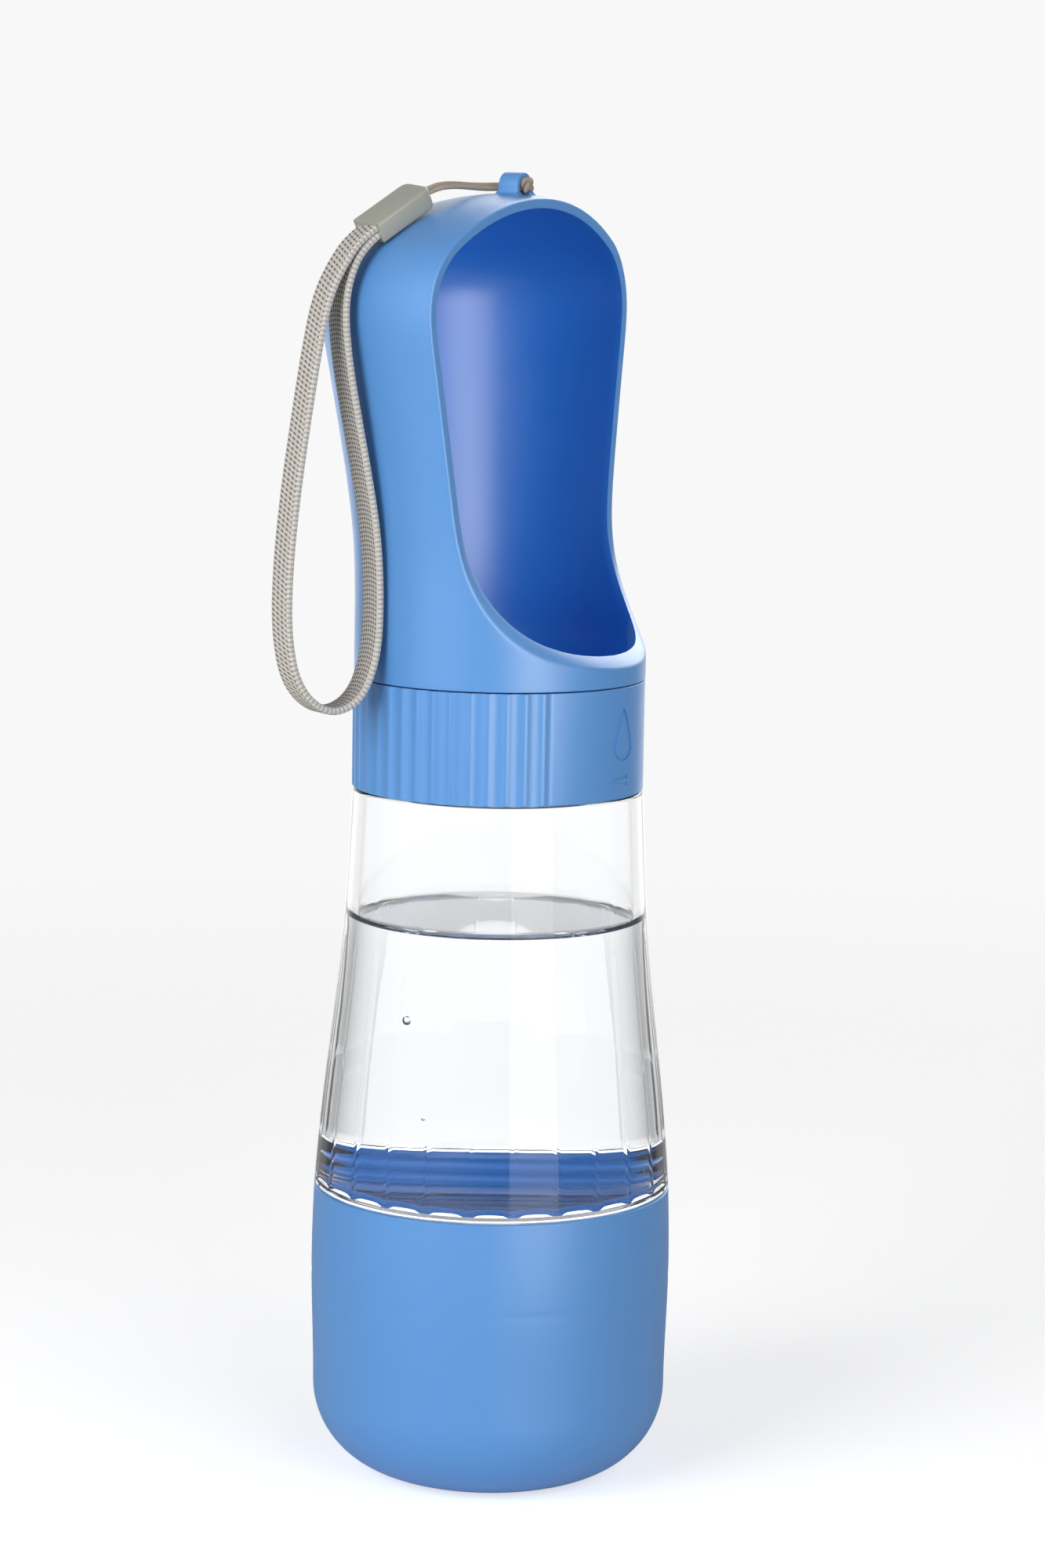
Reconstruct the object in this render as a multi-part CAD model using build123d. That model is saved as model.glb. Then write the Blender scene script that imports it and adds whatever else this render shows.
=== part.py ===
"""Clear water bottle with a drinking trough on top and a food cup underneath.

Millimetres, +Z up.  The origin is the centre of the food cup's base, which
stands on the floor.  The trough opens towards -Y, and its closed back is +Y.

Bottom to top the bottle comes apart into a food cup, a clear bottle with a
screw spigot at each end, a ribbed lock collar, and the trough, which turns in
the collar as the valve.  A flat wrist strap hangs from a lug on the trough.
"""

import math
import os

from build123d import *

# --- Driving dimensions -------------------------------------------------------
CUP_RADIUS = 35.0          # widest radius of the food cup and of the trough's head
CUP_RIM_Z = 56.7           # food cup's rim, where the clear body starts
COLLAR_RADIUS = 28.2       # over the collar's ribs
COLLAR_Z = 135.0           # underside of the lock collar
SEAM_Z = 156.5             # seam between collar and trough
TOP_Z = 248.0              # crown of the trough
WALL = 2.0                 # moulded wall of cup and trough

SEAM_GAP = 0.25            # visible line between parts that turn on each other
RUNNING = 0.05             # radial clearance of a running seal
CLEAR = 0.35               # radial clearance of a spigot in a bore

# Food cup
BASE_CORNER = 17.0         # radius of the rounding under the cup
BASE_WALL_RADIUS = 34.5    # where that rounding meets the side wall
BULGE_Z = 39.0             # height of the widest point of the side wall
CUP_RIM_RADIUS = 34.65
CUP_RIM_ROUND = 0.25
CUP_FLOOR = 2.4
CUP_BORE_RADIUS = 32.65    # bore that takes the bottle's lower spigot
CUP_LEDGE_Z = 44.0         # bottom of that bore
CUP_GROOVE = (48.4, 50.2)  # heights of the sealing ring's groove in the spigot
RING_SECTION = 0.8         # section radius of the sealing rings
RING_SEAT = 1.65           # how far a ring's groove lies inside the bore

# Clear bottle
BOTTLE_FOOT_Z = 57.0       # underside of the visible body, just above the cup's rim
BOTTLE_FLOOR = 2.1
BOTTLE_SECTIONS = [        # height and outer radius, from the foot up to the shoulder
    (57.0, 34.6), (72.0, 33.3), (88.0, 31.5), (104.0, 29.8), (120.0, 28.7), (133.6, 28.05),
]
BOTTLE_WALL = 2.3
FLUTES = 24                # flat flutes inside the wall
FLUTE_TURN = -4.5          # degrees from +X to the first ridge between two flutes
FLUTE_START_Z = 58.2       # where the flutes start above the spigot's round bore
BORE_STEP = 1.6            # height of the sloping step between that bore and the flutes
SHOULDER_Z = 134.8
SHOULDER_ROUND = 1.2
NECK_RADIUS = 24.75
NECK_INNER_RADIUS = 22.3
NECK_TOP_Z = 148.0
CAVITY_TOP_Z = 132.4       # where the fluted wall ends under the shoulder
SPIGOT_RADIUS = 32.25
SPIGOT_INNER_RADIUS = 29.4
SPIGOT_BOTTOM_Z = 46.8

# Lock collar
RIB_PITCH = 7.2            # degrees between the scallops
RIB_DEPTH = 0.35
RIB_WIDTH = 3.0
PANEL_HALF_ANGLE = 36.5    # plain panel at the front, without ribs
COLLAR_BORE_RADIUS = NECK_RADIUS + CLEAR
COLLAR_SEAT_RADIUS = 25.6  # bore that takes the trough's spigot
WEB_Z = 149.1              # underside of the collar's web
WEB_TOP_Z = 151.3
PORT_RADIUS = 3.2          # water port through web, seal and trough floor
PORT_OFFSET = 12.0         # its distance from the axis

# Trough
TROUGH_SPIGOT_RADIUS = 25.25
TROUGH_SPIGOT_INNER = 22.4
TROUGH_SPIGOT_Z = 151.9
PLATE_Z = 154.1            # underside of the trough's floor
FLOOR_Z = 156.6            # inside of the trough's floor
FLOOR_FILLET = 8.0
TUBE_RADIUS = 28.0         # trough just above the seam
TUBE_TOP_Z = 168.0         # where the trough starts to flare
FLARE = [(28.4, 182), (30.8, 200), (34.0, 218)]    # radius and height up to the head
TROUGH_GROOVE = (154.4, 156.2)     # heights of the groove for the trough's ring
CROWN_RADIUS = 50.0
SHOULDER_RADIUS = 16.0
SNAP_HEIGHT = 0.45         # snap bead that keeps the trough in the collar
SNAP_Z = 152.5
SNAP_WIDTH = 1.2
SEAL_RADIUS = 20.0
SEAL_POCKET_RADIUS = 20.3

# Lug and strap
LUG_CENTRE_Z = 249.3       # height of the cord hole
LUG_CENTRE_Y = -1.65
LUG_HOLE_RADIUS = 1.5
LUG_WIDTH = 5.4
LUG_THICK = 4.2
LUG_ROUND = 1.1
CORD_DIAMETER = 1.0
CORD_ROUTE = [             # doubled cord: sleeve, lug, turn inside the knot, and back
    (-18.4, 8.3, 247.5), (-14.9, 7.1, 249.15), (-11.4, 6.4, 249.6), (-8.0, 6.05, 249.6),
    (-4.7, 5.7, 249.45), (-1.4, 5.0, 249.4), (0.5, 2.9, 249.5), (0.6, 0.4, 249.5),
    (0.6, -4.1, 249.5), (-0.6, -4.1, 248.95), (-0.6, 0.4, 248.95), (-0.65, 2.3, 248.9),
    (-2.2, 3.9, 248.85), (-4.9, 4.65, 249.0), (-8.2, 5.0, 249.15), (-11.5, 5.35, 249.15),
    (-15.0, 6.1, 248.75), (-18.8, 7.4, 247.1),
]
KNOT_CENTRE = (0, -4.3, LUG_CENTRE_Z)
KNOT_RADIUS = 1.4          # of the ball that the tied knot fills
SLEEVE_TOP = (-17.75, 7.65, 247.75)    # centre of the sleeve's upper end
SLEEVE_MOUTH = (-29.0, 11.6, 240.7)
SLEEVE_WIDTH = 7.55
SLEEVE_THICK = 4.1
SLEEVE_ROLL = -6.7         # degrees that the sleeve leans away from level
SLEEVE_ROUND = 1.8         # of the two corners at its upper end
WEBBING_AZIMUTH = 155.0    # direction of the loop's plane, from +X
WEBBING_WIDTH = 6.2
WEBBING_THICK = 1.4
WEBBING_ROUTE = [          # distance out along the loop's plane, and height
    (29.3, 242.4), (33.6, 240.0), (37.6, 235.0), (41.0, 228.5), (43.2, 218.0), (45.2, 206.0),
    (47.2, 193.0), (48.7, 179.0), (48.9, 166.5), (46.6, 156.5), (40.0, 151.2), (33.0, 153.6),
    (29.6, 162.0), (29.2, 173.0), (29.9, 184.0), (31.8, 194.5), (34.2, 205.5), (36.6, 217.0),
    (37.6, 227.5), (35.6, 235.0), (31.8, 239.4), (28.6, 241.4),
]


def revolve_outline(outline):
    """Turn a closed outline in the XZ plane round the Z axis."""
    return revolve(Plane.XZ * make_face(outline), Axis.Z)


def ring(inner, outer, bottom, top):
    """A plain ring round the Z axis."""
    tube = Cylinder(outer, top - bottom) - Cylinder(inner, top - bottom)
    return Pos(0, 0, (bottom + top) / 2) * tube


def disc(radius, bottom, top):
    """A plain disc round the Z axis."""
    return Pos(0, 0, (bottom + top) / 2) * Cylinder(radius, top - bottom)


def port(angle, bottom, top, radius=PORT_RADIUS):
    """A vertical hole at the ports' distance from the axis."""
    x = PORT_OFFSET * math.cos(math.radians(angle))
    y = PORT_OFFSET * math.sin(math.radians(angle))
    return Pos(x, y, (bottom + top) / 2) * Cylinder(radius, top - bottom)


def o_ring(bore_radius, groove):
    """A round rubber ring, just clear of the bore that it seals."""
    return Pos(0, 0, sum(groove) / 2) * Torus(bore_radius - RUNNING - RING_SECTION, RING_SECTION)


def ring_groove(bore_radius, groove):
    """The groove that holds a rubber ring, as a tool that reaches out past the bore."""
    return ring(bore_radius - RING_SEAT, bore_radius + 1, *groove)


# --- Food cup -----------------------------------------------------------------
def food_cup():
    """Cup with a full rounding under it, a bulging wall and a smooth bore at its rim."""
    flat_radius = BASE_WALL_RADIUS - BASE_CORNER
    corner_mid = BASE_CORNER * math.sqrt(0.5)
    outside = [
        Line((0, 0), (flat_radius, 0)),
        ThreePointArc(
            (flat_radius, 0),
            (flat_radius + corner_mid, BASE_CORNER - corner_mid),
            (BASE_WALL_RADIUS, BASE_CORNER),
        ),
        Spline(
            (BASE_WALL_RADIUS, BASE_CORNER),
            (CUP_RADIUS, BULGE_Z),
            (CUP_RIM_RADIUS, CUP_RIM_Z),
            tangents=[(0, 1), (-0.04, 1)],
        ),
    ]
    inner_corner = BASE_CORNER - CUP_FLOOR
    inner_mid = inner_corner * math.sqrt(0.5)
    inner_wall = flat_radius + inner_corner
    inside = [
        Line((CUP_RIM_RADIUS, CUP_RIM_Z), (CUP_BORE_RADIUS, CUP_RIM_Z)),
        Line((CUP_BORE_RADIUS, CUP_RIM_Z), (CUP_BORE_RADIUS, CUP_LEDGE_Z)),
        Line((CUP_BORE_RADIUS, CUP_LEDGE_Z), (inner_wall, CUP_LEDGE_Z)),
        Line((inner_wall, CUP_LEDGE_Z), (inner_wall, BASE_CORNER)),
        ThreePointArc(
            (inner_wall, BASE_CORNER),
            (flat_radius + inner_mid, BASE_CORNER - inner_mid),
            (flat_radius, CUP_FLOOR),
        ),
        Line((flat_radius, CUP_FLOOR), (0, CUP_FLOOR)),
        Line((0, CUP_FLOOR), (0, 0)),
    ]
    cup = revolve_outline(outside + inside)
    rim_edges = cup.edges().filter_by(GeomType.CIRCLE).filter_by_position(Axis.Z, CUP_RIM_Z, CUP_RIM_Z)
    return fillet(rim_edges, CUP_RIM_ROUND)


def cup_gasket():
    """Ring in the spigot's groove, which seals the bottle in the cup."""
    return o_ring(CUP_BORE_RADIUS, CUP_GROOVE)


# --- Clear bottle -------------------------------------------------------------
def fluted_cavity():
    """Inside of the bottle: a loft between many-sided sections, one side for each flute."""
    heights = [FLUTE_START_Z] + [height for height, _ in BOTTLE_SECTIONS[1:-1]] + [CAVITY_TOP_Z]
    sections = []
    for height, (_, radius) in zip(heights, BOTTLE_SECTIONS):
        section = RegularPolygon(radius - BOTTLE_WALL, FLUTES, rotation=FLUTE_TURN)
        sections.append(Pos(0, 0, height) * section)
    return loft(sections, ruled=True)


def spigot_bore():
    """Round bottom of the water space, which reaches down inside the spigot."""
    first_inner = BOTTLE_SECTIONS[0][1] - BOTTLE_WALL
    bore = disc(SPIGOT_INNER_RADIUS, SPIGOT_BOTTOM_Z + BOTTLE_FLOOR, FLUTE_START_Z)
    step = Cone(SPIGOT_INNER_RADIUS, first_inner, BORE_STEP)
    return bore + Pos(0, 0, FLUTE_START_Z - BORE_STEP / 2) * step


def bottle_body():
    """Tapered clear body with a fluted inside, a screw neck and a screw spigot below."""
    first_radius = BOTTLE_SECTIONS[0][1]
    last_height, last_radius = BOTTLE_SECTIONS[-1]
    round_mid = SHOULDER_ROUND * math.sqrt(0.5)
    round_centre = (last_radius - SHOULDER_ROUND, SHOULDER_Z - SHOULDER_ROUND)
    outline = [
        Line((0, SPIGOT_BOTTOM_Z), (SPIGOT_RADIUS, SPIGOT_BOTTOM_Z)),
        Line((SPIGOT_RADIUS, SPIGOT_BOTTOM_Z), (SPIGOT_RADIUS, BOTTLE_FOOT_Z)),
        Line((SPIGOT_RADIUS, BOTTLE_FOOT_Z), (first_radius, BOTTLE_FOOT_Z)),
        Spline(*[(radius, height) for height, radius in BOTTLE_SECTIONS]),
        ThreePointArc(
            (last_radius, last_height),
            (round_centre[0] + round_mid, round_centre[1] + round_mid),
            (round_centre[0], SHOULDER_Z),
        ),
        Line((round_centre[0], SHOULDER_Z), (NECK_RADIUS, SHOULDER_Z)),
        Line((NECK_RADIUS, SHOULDER_Z), (NECK_RADIUS, NECK_TOP_Z)),
        Line((NECK_RADIUS, NECK_TOP_Z), (0, NECK_TOP_Z)),
        Line((0, NECK_TOP_Z), (0, SPIGOT_BOTTOM_Z)),
    ]
    body = revolve_outline(outline)
    neck_bore = disc(NECK_INNER_RADIUS, SHOULDER_Z, NECK_TOP_Z)
    throat = loft([
        Pos(0, 0, CAVITY_TOP_Z) * Circle(last_radius - BOTTLE_WALL - 0.4),
        Pos(0, 0, SHOULDER_Z) * Circle(NECK_INNER_RADIUS),
    ])
    cavity = fluted_cavity() + spigot_bore() + throat + neck_bore
    return body - cavity - ring_groove(CUP_BORE_RADIUS, CUP_GROOVE)


def neck_gasket():
    """Flat rubber ring between the bottle's neck and the collar's web."""
    return ring(NECK_INNER_RADIUS + 0.2, NECK_RADIUS - 0.1, NECK_TOP_Z + RUNNING, WEB_Z - RUNNING)


# --- Lock collar --------------------------------------------------------------
def rib_scallops():
    """Shallow vertical scallops all round, except over the plain front panel."""
    scallop_radius = (RIB_WIDTH ** 2 / 4 + RIB_DEPTH ** 2) / (2 * RIB_DEPTH)
    reach = COLLAR_RADIUS - RIB_DEPTH + scallop_radius
    count = int((360 - 2 * PANEL_HALF_ANGLE) / RIB_PITCH)
    height = SEAM_Z - COLLAR_Z + 2
    scallops = []
    for index in range(count + 1):
        angle = 90 + (index - count / 2) * RIB_PITCH
        place = Rot(0, 0, angle) * Pos(reach, 0, COLLAR_Z + height / 2 - 1)
        scallops.append(place * Cylinder(scallop_radius, height))
    return scallops


def lock_collar():
    """Ribbed screw collar with a web that holds the water port and the trough's seat."""
    top = SEAM_Z - SEAM_GAP
    collar = Pos(0, 0, (COLLAR_Z + top) / 2) * Cylinder(COLLAR_RADIUS, top - COLLAR_Z)
    collar = chamfer(collar.edges().filter_by(GeomType.CIRCLE), 0.35)
    collar -= rib_scallops()
    collar -= disc(COLLAR_BORE_RADIUS, COLLAR_Z - 1, WEB_Z)
    collar -= disc(COLLAR_SEAT_RADIUS, WEB_TOP_Z, top + 1)
    snap_groove = COLLAR_SEAT_RADIUS + SNAP_HEIGHT
    collar -= ring(COLLAR_SEAT_RADIUS - 1, snap_groove, SNAP_Z - 0.35, SNAP_Z + SNAP_WIDTH + 0.35)
    collar -= port(180, WEB_Z - 1, WEB_TOP_Z + 1)
    return collar


# --- Trough -------------------------------------------------------------------
def head_outline(inset, bottom):
    """Half outline of the tube and domed head, drawn a given wall inside the outer one."""
    tube = TUBE_RADIUS - inset
    head = CUP_RADIUS - inset
    centre_x = CUP_RADIUS - SHOULDER_RADIUS
    crown_centre = TOP_Z - CROWN_RADIUS
    rise = math.sqrt((CROWN_RADIUS - SHOULDER_RADIUS) ** 2 - centre_x ** 2)
    head_z = crown_centre + rise
    shoulder = SHOULDER_RADIUS - inset
    lean = math.atan2(rise, centre_x)
    crown_x = centre_x + shoulder * math.cos(lean)
    crown_z = head_z + shoulder * math.sin(lean)
    return [
        Line((tube, bottom), (tube, TUBE_TOP_Z)),
        Spline(
            (tube, TUBE_TOP_Z), *[(radius - inset, height) for radius, height in FLARE], (head, head_z),
            tangents=[(0, 1), (0, 1)],
        ),
        ThreePointArc(
            (head, head_z),
            (centre_x + shoulder * math.cos(lean / 2), head_z + shoulder * math.sin(lean / 2)),
            (crown_x, crown_z),
        ),
        ThreePointArc(
            (crown_x, crown_z),
            (
                (CROWN_RADIUS - inset) * math.cos((lean + math.pi / 2) / 2),
                crown_centre + (CROWN_RADIUS - inset) * math.sin((lean + math.pi / 2) / 2),
            ),
            (0, TOP_Z - inset),
        ),
    ]


def front_cut():
    """Everything in front of the trough's opening, as a prism across the whole width."""
    edge = Spline(
        (-60, 160.1), (-28, 160.0), (-20.9, 163.0), (-13.6, 170.0), (-9.3, 178.6), (-7.2, 194.4),
        (-6.3, 218.5), (-6.4, 234.9), (-8.4, 247.2), (-12, 262),
    )
    outline = [
        edge,
        Line(edge @ 1, (-60, 262)),
        Line((-60, 262), edge @ 0),
    ]
    return extrude(Plane.YZ * make_face(outline), 60, both=True)


def trough_shell():
    """Tube and domed head with a bowl-shaped floor, before the front is cut away."""
    outer = head_outline(0, SEAM_Z)
    shell = revolve_outline(outer + [
        Line((0, TOP_Z), (0, SEAM_Z)),
        Line((0, SEAM_Z), (TUBE_RADIUS, SEAM_Z)),
    ])
    corner = TUBE_RADIUS - WALL - FLOOR_FILLET
    corner_mid = FLOOR_FILLET * math.sqrt(0.5)
    inner = head_outline(WALL, FLOOR_Z + FLOOR_FILLET)
    hollow = revolve_outline(inner + [
        Line((0, TOP_Z - WALL), (0, FLOOR_Z)),
        Line((0, FLOOR_Z), (corner, FLOOR_Z)),
        ThreePointArc(
            (corner, FLOOR_Z),
            (corner + corner_mid, FLOOR_Z + FLOOR_FILLET - corner_mid),
            (TUBE_RADIUS - WALL, FLOOR_Z + FLOOR_FILLET),
        ),
    ])
    return shell - hollow


def cord_lug():
    """Thick rounded eye on the crown, with its hole along Y."""
    outline = Circle(LUG_WIDTH / 2) + Pos(0, -LUG_WIDTH / 4) * Rectangle(LUG_WIDTH, LUG_WIDTH / 2)
    lug = extrude(Plane.XZ * outline, LUG_THICK / 2, both=True)
    ends = lug.faces().filter_by(Axis.Y).edges()
    lug = fillet(ends.sort_by(Axis.Z)[2:], LUG_ROUND)
    hole = Rot(90, 0, 0) * Cylinder(LUG_HOLE_RADIUS, LUG_THICK + 2)
    return Pos(0, LUG_CENTRE_Y, LUG_CENTRE_Z) * (lug - hole)


def drinking_trough():
    """Flared, domed trough whose turning spigot snaps into the collar."""
    trough = trough_shell() - front_cut()
    trough += disc(TROUGH_SPIGOT_RADIUS, PLATE_Z, SEAM_Z)
    trough += ring(TROUGH_SPIGOT_INNER, TROUGH_SPIGOT_RADIUS, TROUGH_SPIGOT_Z, PLATE_Z)
    bead = TROUGH_SPIGOT_RADIUS + SNAP_HEIGHT
    trough += ring(TROUGH_SPIGOT_INNER, bead, SNAP_Z, SNAP_Z + SNAP_WIDTH)
    trough -= ring_groove(COLLAR_SEAT_RADIUS, TROUGH_GROOVE)
    trough += ring(SEAL_POCKET_RADIUS, SEAL_POCKET_RADIUS + 1.2, WEB_TOP_Z + 0.4, PLATE_Z)
    trough -= port(90, PLATE_Z - 1, FLOOR_Z + 1)
    return trough + cord_lug()


def valve_seal():
    """Rubber disc under the trough's floor, which wipes over the collar's port."""
    return disc(SEAL_RADIUS, WEB_TOP_Z + RUNNING, PLATE_Z) - port(90, WEB_TOP_Z - 1, PLATE_Z + 1)


def trough_ring():
    """Ring in the groove round the trough's floor."""
    return o_ring(COLLAR_SEAT_RADIUS, TROUGH_GROOVE)


# --- Strap --------------------------------------------------------------------
def corner_radii(route):
    """The largest even arc that each corner's two runs leave room for."""
    points = [Vector(*point) for point in route]
    radii = []
    for before, corner, after in zip(points, points[1:], points[2:]):
        half_turn = math.radians((corner - before).get_angle(after - corner)) / 2
        shorter = min((corner - before).length, (after - corner).length)
        radii.append(0.45 * shorter / math.tan(half_turn))
    return radii


def rounded_path(route):
    """Straight runs joined by tangent arcs."""
    return FilletPolyline(*route, radius=corner_radii(route))


def strap_cord():
    """Thin cord, doubled through the lug's eye, with its turn inside the stopper knot."""
    path = rounded_path(CORD_ROUTE)
    start = Plane(origin=path @ 0, z_dir=path % 0)
    return sweep(start * Circle(CORD_DIAMETER / 2), path)


def strap_knot():
    """Stopper knot in front of the lug."""
    return Pos(*KNOT_CENTRE) * Sphere(KNOT_RADIUS)


def strap_sleeve():
    """Moulded sleeve that joins the cord to the webbing, with a rounded upper end."""
    top = Vector(*SLEEVE_TOP)
    along = Vector(*SLEEVE_MOUTH) - top
    length = along.length
    level = along.cross(Vector(0, 0, 1)).normalized()
    across = level.rotate(Axis((0, 0, 0), tuple(along)), SLEEVE_ROLL)
    seat = Plane(origin=top, x_dir=along, z_dir=across.cross(along))
    blank = Pos(length / 2, 0, 0) * Box(length, SLEEVE_WIDTH, SLEEVE_THICK)
    upper_corners = blank.edges().filter_by(Axis.Z).sort_by(Axis.X)[:2]
    blank = fillet(upper_corners, SLEEVE_ROUND)
    long_edges = blank.edges().filter_by(Axis.X)
    return seat * fillet(long_edges, 0.6)


def strap_webbing():
    """Flat wrist loop: one length of webbing whose two ends sit in the sleeve."""
    turn = math.radians(WEBBING_AZIMUTH)
    outward = Vector(math.cos(turn), math.sin(turn), 0)
    across = outward.cross(Vector(0, 0, 1))
    mouth = Vector(*SLEEVE_MOUTH)
    loop_plane = Plane(origin=across * mouth.dot(across), x_dir=outward, z_dir=across)
    path = loop_plane * rounded_path(WEBBING_ROUTE)
    section_plane = Plane(origin=path @ 0, x_dir=across, z_dir=path % 0)
    section = section_plane * RectangleRounded(WEBBING_WIDTH, WEBBING_THICK, 0.45)
    return sweep(section, path)


PARTS = {
    "food_cup": food_cup,
    "cup_gasket": cup_gasket,
    "bottle_body": bottle_body,
    "neck_gasket": neck_gasket,
    "lock_collar": lock_collar,
    "drinking_trough": drinking_trough,
    "valve_seal": valve_seal,
    "trough_ring": trough_ring,
    "strap_cord": strap_cord,
    "strap_knot": strap_knot,
    "strap_sleeve": strap_sleeve,
    "strap_webbing": strap_webbing,
}

if __name__ == "__main__":
    os.makedirs("parts", exist_ok=True)
    for name, make in PARTS.items():
        export_step(make(), f"parts/{name}.step")
    for name, route in (("cord", CORD_ROUTE), ("webbing", WEBBING_ROUTE)):
        radii = corner_radii(route)
        print(name, "bends", [round(radius, 1) for radius in radii], "length", round(rounded_path(route).length, 1))
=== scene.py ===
"""Finished surfaces of a dog's clear water bottle with a drinking trough and a food cup.

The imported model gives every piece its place.  Lengths inside the functions are
millimetres, and meshes are made in metres.  The trough opens towards -Y.
"""

import math

import bmesh
import bpy
import numpy as np
from bpy.props import FloatProperty, FloatVectorProperty, IntProperty, PointerProperty
from mathutils import Matrix, Vector
from mathutils.bvhtree import BVHTree


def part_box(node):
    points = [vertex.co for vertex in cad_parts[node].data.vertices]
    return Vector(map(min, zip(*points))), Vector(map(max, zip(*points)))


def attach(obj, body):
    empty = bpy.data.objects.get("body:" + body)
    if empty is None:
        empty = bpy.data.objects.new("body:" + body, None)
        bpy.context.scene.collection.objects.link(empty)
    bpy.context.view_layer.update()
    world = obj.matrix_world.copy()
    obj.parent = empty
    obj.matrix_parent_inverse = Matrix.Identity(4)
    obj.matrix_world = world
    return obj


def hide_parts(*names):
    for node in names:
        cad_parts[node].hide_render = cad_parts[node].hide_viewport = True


bl_info = {
    "name": "Dog Water Bottle",
    "version": (1, 0, 0),
    "blender": (4, 5, 0),
    "location": "View3D > Sidebar > Bottle",
    "description": "Builds a dog's water bottle with a drinking trough, a food cup and a wrist strap",
    "category": "Add Mesh",
}

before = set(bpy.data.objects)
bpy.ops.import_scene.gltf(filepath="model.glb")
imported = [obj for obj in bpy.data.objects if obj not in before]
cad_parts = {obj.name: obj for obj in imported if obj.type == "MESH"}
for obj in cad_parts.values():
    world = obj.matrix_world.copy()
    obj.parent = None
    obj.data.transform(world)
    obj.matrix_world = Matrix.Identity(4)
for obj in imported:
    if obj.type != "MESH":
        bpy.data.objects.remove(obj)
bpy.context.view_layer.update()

MM = 0.001
UP = Vector((0, 0, 1))


def node_box(node):
    """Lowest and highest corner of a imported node, in millimetres."""
    low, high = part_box(node)
    return low / MM, high / MM


# --- Sizes, in millimetres ----------------------------------------------------
CUP_LOW, CUP_HIGH = node_box("food_cup")
BODY_LOW, BODY_HIGH = node_box("bottle_body")
COLLAR_LOW, COLLAR_HIGH = node_box("lock_collar")
TROUGH_LOW, TROUGH_HIGH = node_box("drinking_trough")

CUP_RADIUS = CUP_HIGH.x
CUP_RIM_Z = CUP_HIGH.z
COLLAR_RADIUS = 28.2
COLLAR_Z = COLLAR_LOW.z
SEAM_GAP = 0.25            # visible line between collar and trough
SEAM_Z = COLLAR_HIGH.z + SEAM_GAP
HEAD_RADIUS = TROUGH_HIGH.x
LUG_HEIGHT = 4.0           # top of the lug over the crown
CROWN_Z = TROUGH_HIGH.z - LUG_HEIGHT

# Food cup
BASE_CORNER = 17.0         # rounding under the cup
BASE_WALL_RADIUS = 34.5
BULGE_Z = 39.0             # widest height of the cup's wall
CUP_RIM_RADIUS = 34.65
CUP_FLOOR = 2.4
CUP_BORE_RADIUS = 32.65
CUP_LEDGE_Z = 44.0
PART_LINE_Z = 39.0         # fine line round the cup where its mould parts
PART_LINE_DEPTH = 0.07

# Clear bottle
BODY_FOOT_Z = CUP_RIM_Z + 0.3
BODY_SECTIONS = [          # height above the foot, and outer radius
    (0.0, 34.6), (15.0, 33.3), (31.0, 31.5), (47.0, 29.8), (63.0, 28.7), (76.6, 28.05),
]
SHOULDER_Z = COLLAR_Z - 0.03
SHOULDER_ROUND = 0.8
NECK_RADIUS = 24.75
NECK_INNER_RADIUS = 22.3
FLUTE_FOOT_Z = 57.7
FLUTE_TOP_Z = 134.0
BORE_STEP = 1.3            # height of the sloping step under the flutes
FLUTE_FADE = (100.0, 112.0)  # heights between which the flutes grow shallow
FLUTE_TURN = -4.5          # degrees from +X to a ridge between two flutes
THROAT_EASE = 0.4
SPIGOT_RADIUS = 32.25
SPIGOT_INNER_RADIUS = 29.4
SPIGOT_FLOOR = 2.1
RING_GROOVE = (48.4, 50.2, 31.0)    # bottom, top and radius of the sealing ring's groove
THREAD_PITCH = 2.6
BODY_STEPS = 192

# Lock collar
RIB_PITCH = 7.2            # degrees
RIB_DEPTH = 0.35
RIB_WIDTH = 3.0
PANEL_HALF_ANGLE = 36.5    # plain panel at the front
PANEL_DROP = 0.25          # how far the panel lies under the ribs' crests
COLLAR_BORE_RADIUS = 25.1
COLLAR_SEAT_RADIUS = 25.6
SNAP_GROOVE = (152.15, 154.05, 26.05)
WEB_Z = 149.1
WEB_TOP_Z = 151.3
PORT_RADIUS = 3.2
PORT_OFFSET = 12.0
COLLAR_STEPS = 600

# Trough
TUBE_RADIUS = 28.0
TUBE_TOP_Z = 168.0
FLARE = [(28.4, 182.0), (30.8, 200.0), (34.0, 218.0)]
SHOULDER_RADIUS = 16.0
CROWN_RADIUS = 50.0
PLATE_Z = 154.1
FLOOR_Z = 156.6
FLOOR_FILLET = 8.0
FRONT_CUT = [              # the opening's edge seen from the side: y, z
    (-60, 160.1), (-28, 160.0), (-20.9, 163.0), (-13.6, 170.0), (-9.3, 178.6), (-7.2, 194.4),
    (-6.3, 218.5), (-6.4, 234.9), (-8.4, 247.2), (-12, 262),
]
RIM_STRIP = 1.5            # clean strip of wall beside the opening's edge
RIM_MERGE = 0.4            # closer points of the opening's edge become one
LIP_RISE = 1.5             # how far the lip's inner edge stands over its outer edge
LIP_FADE = (163.0, 182.0)  # heights between which that dies out
TROUGH_STEPS = 176
LUG_CENTRE_Y = -1.65
LUG_CENTRE_Z = CROWN_Z + 1.3
LUG_HOLE_RADIUS = 1.5
LUG_WIDTH = 5.4
LUG_THICK = 4.2

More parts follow.
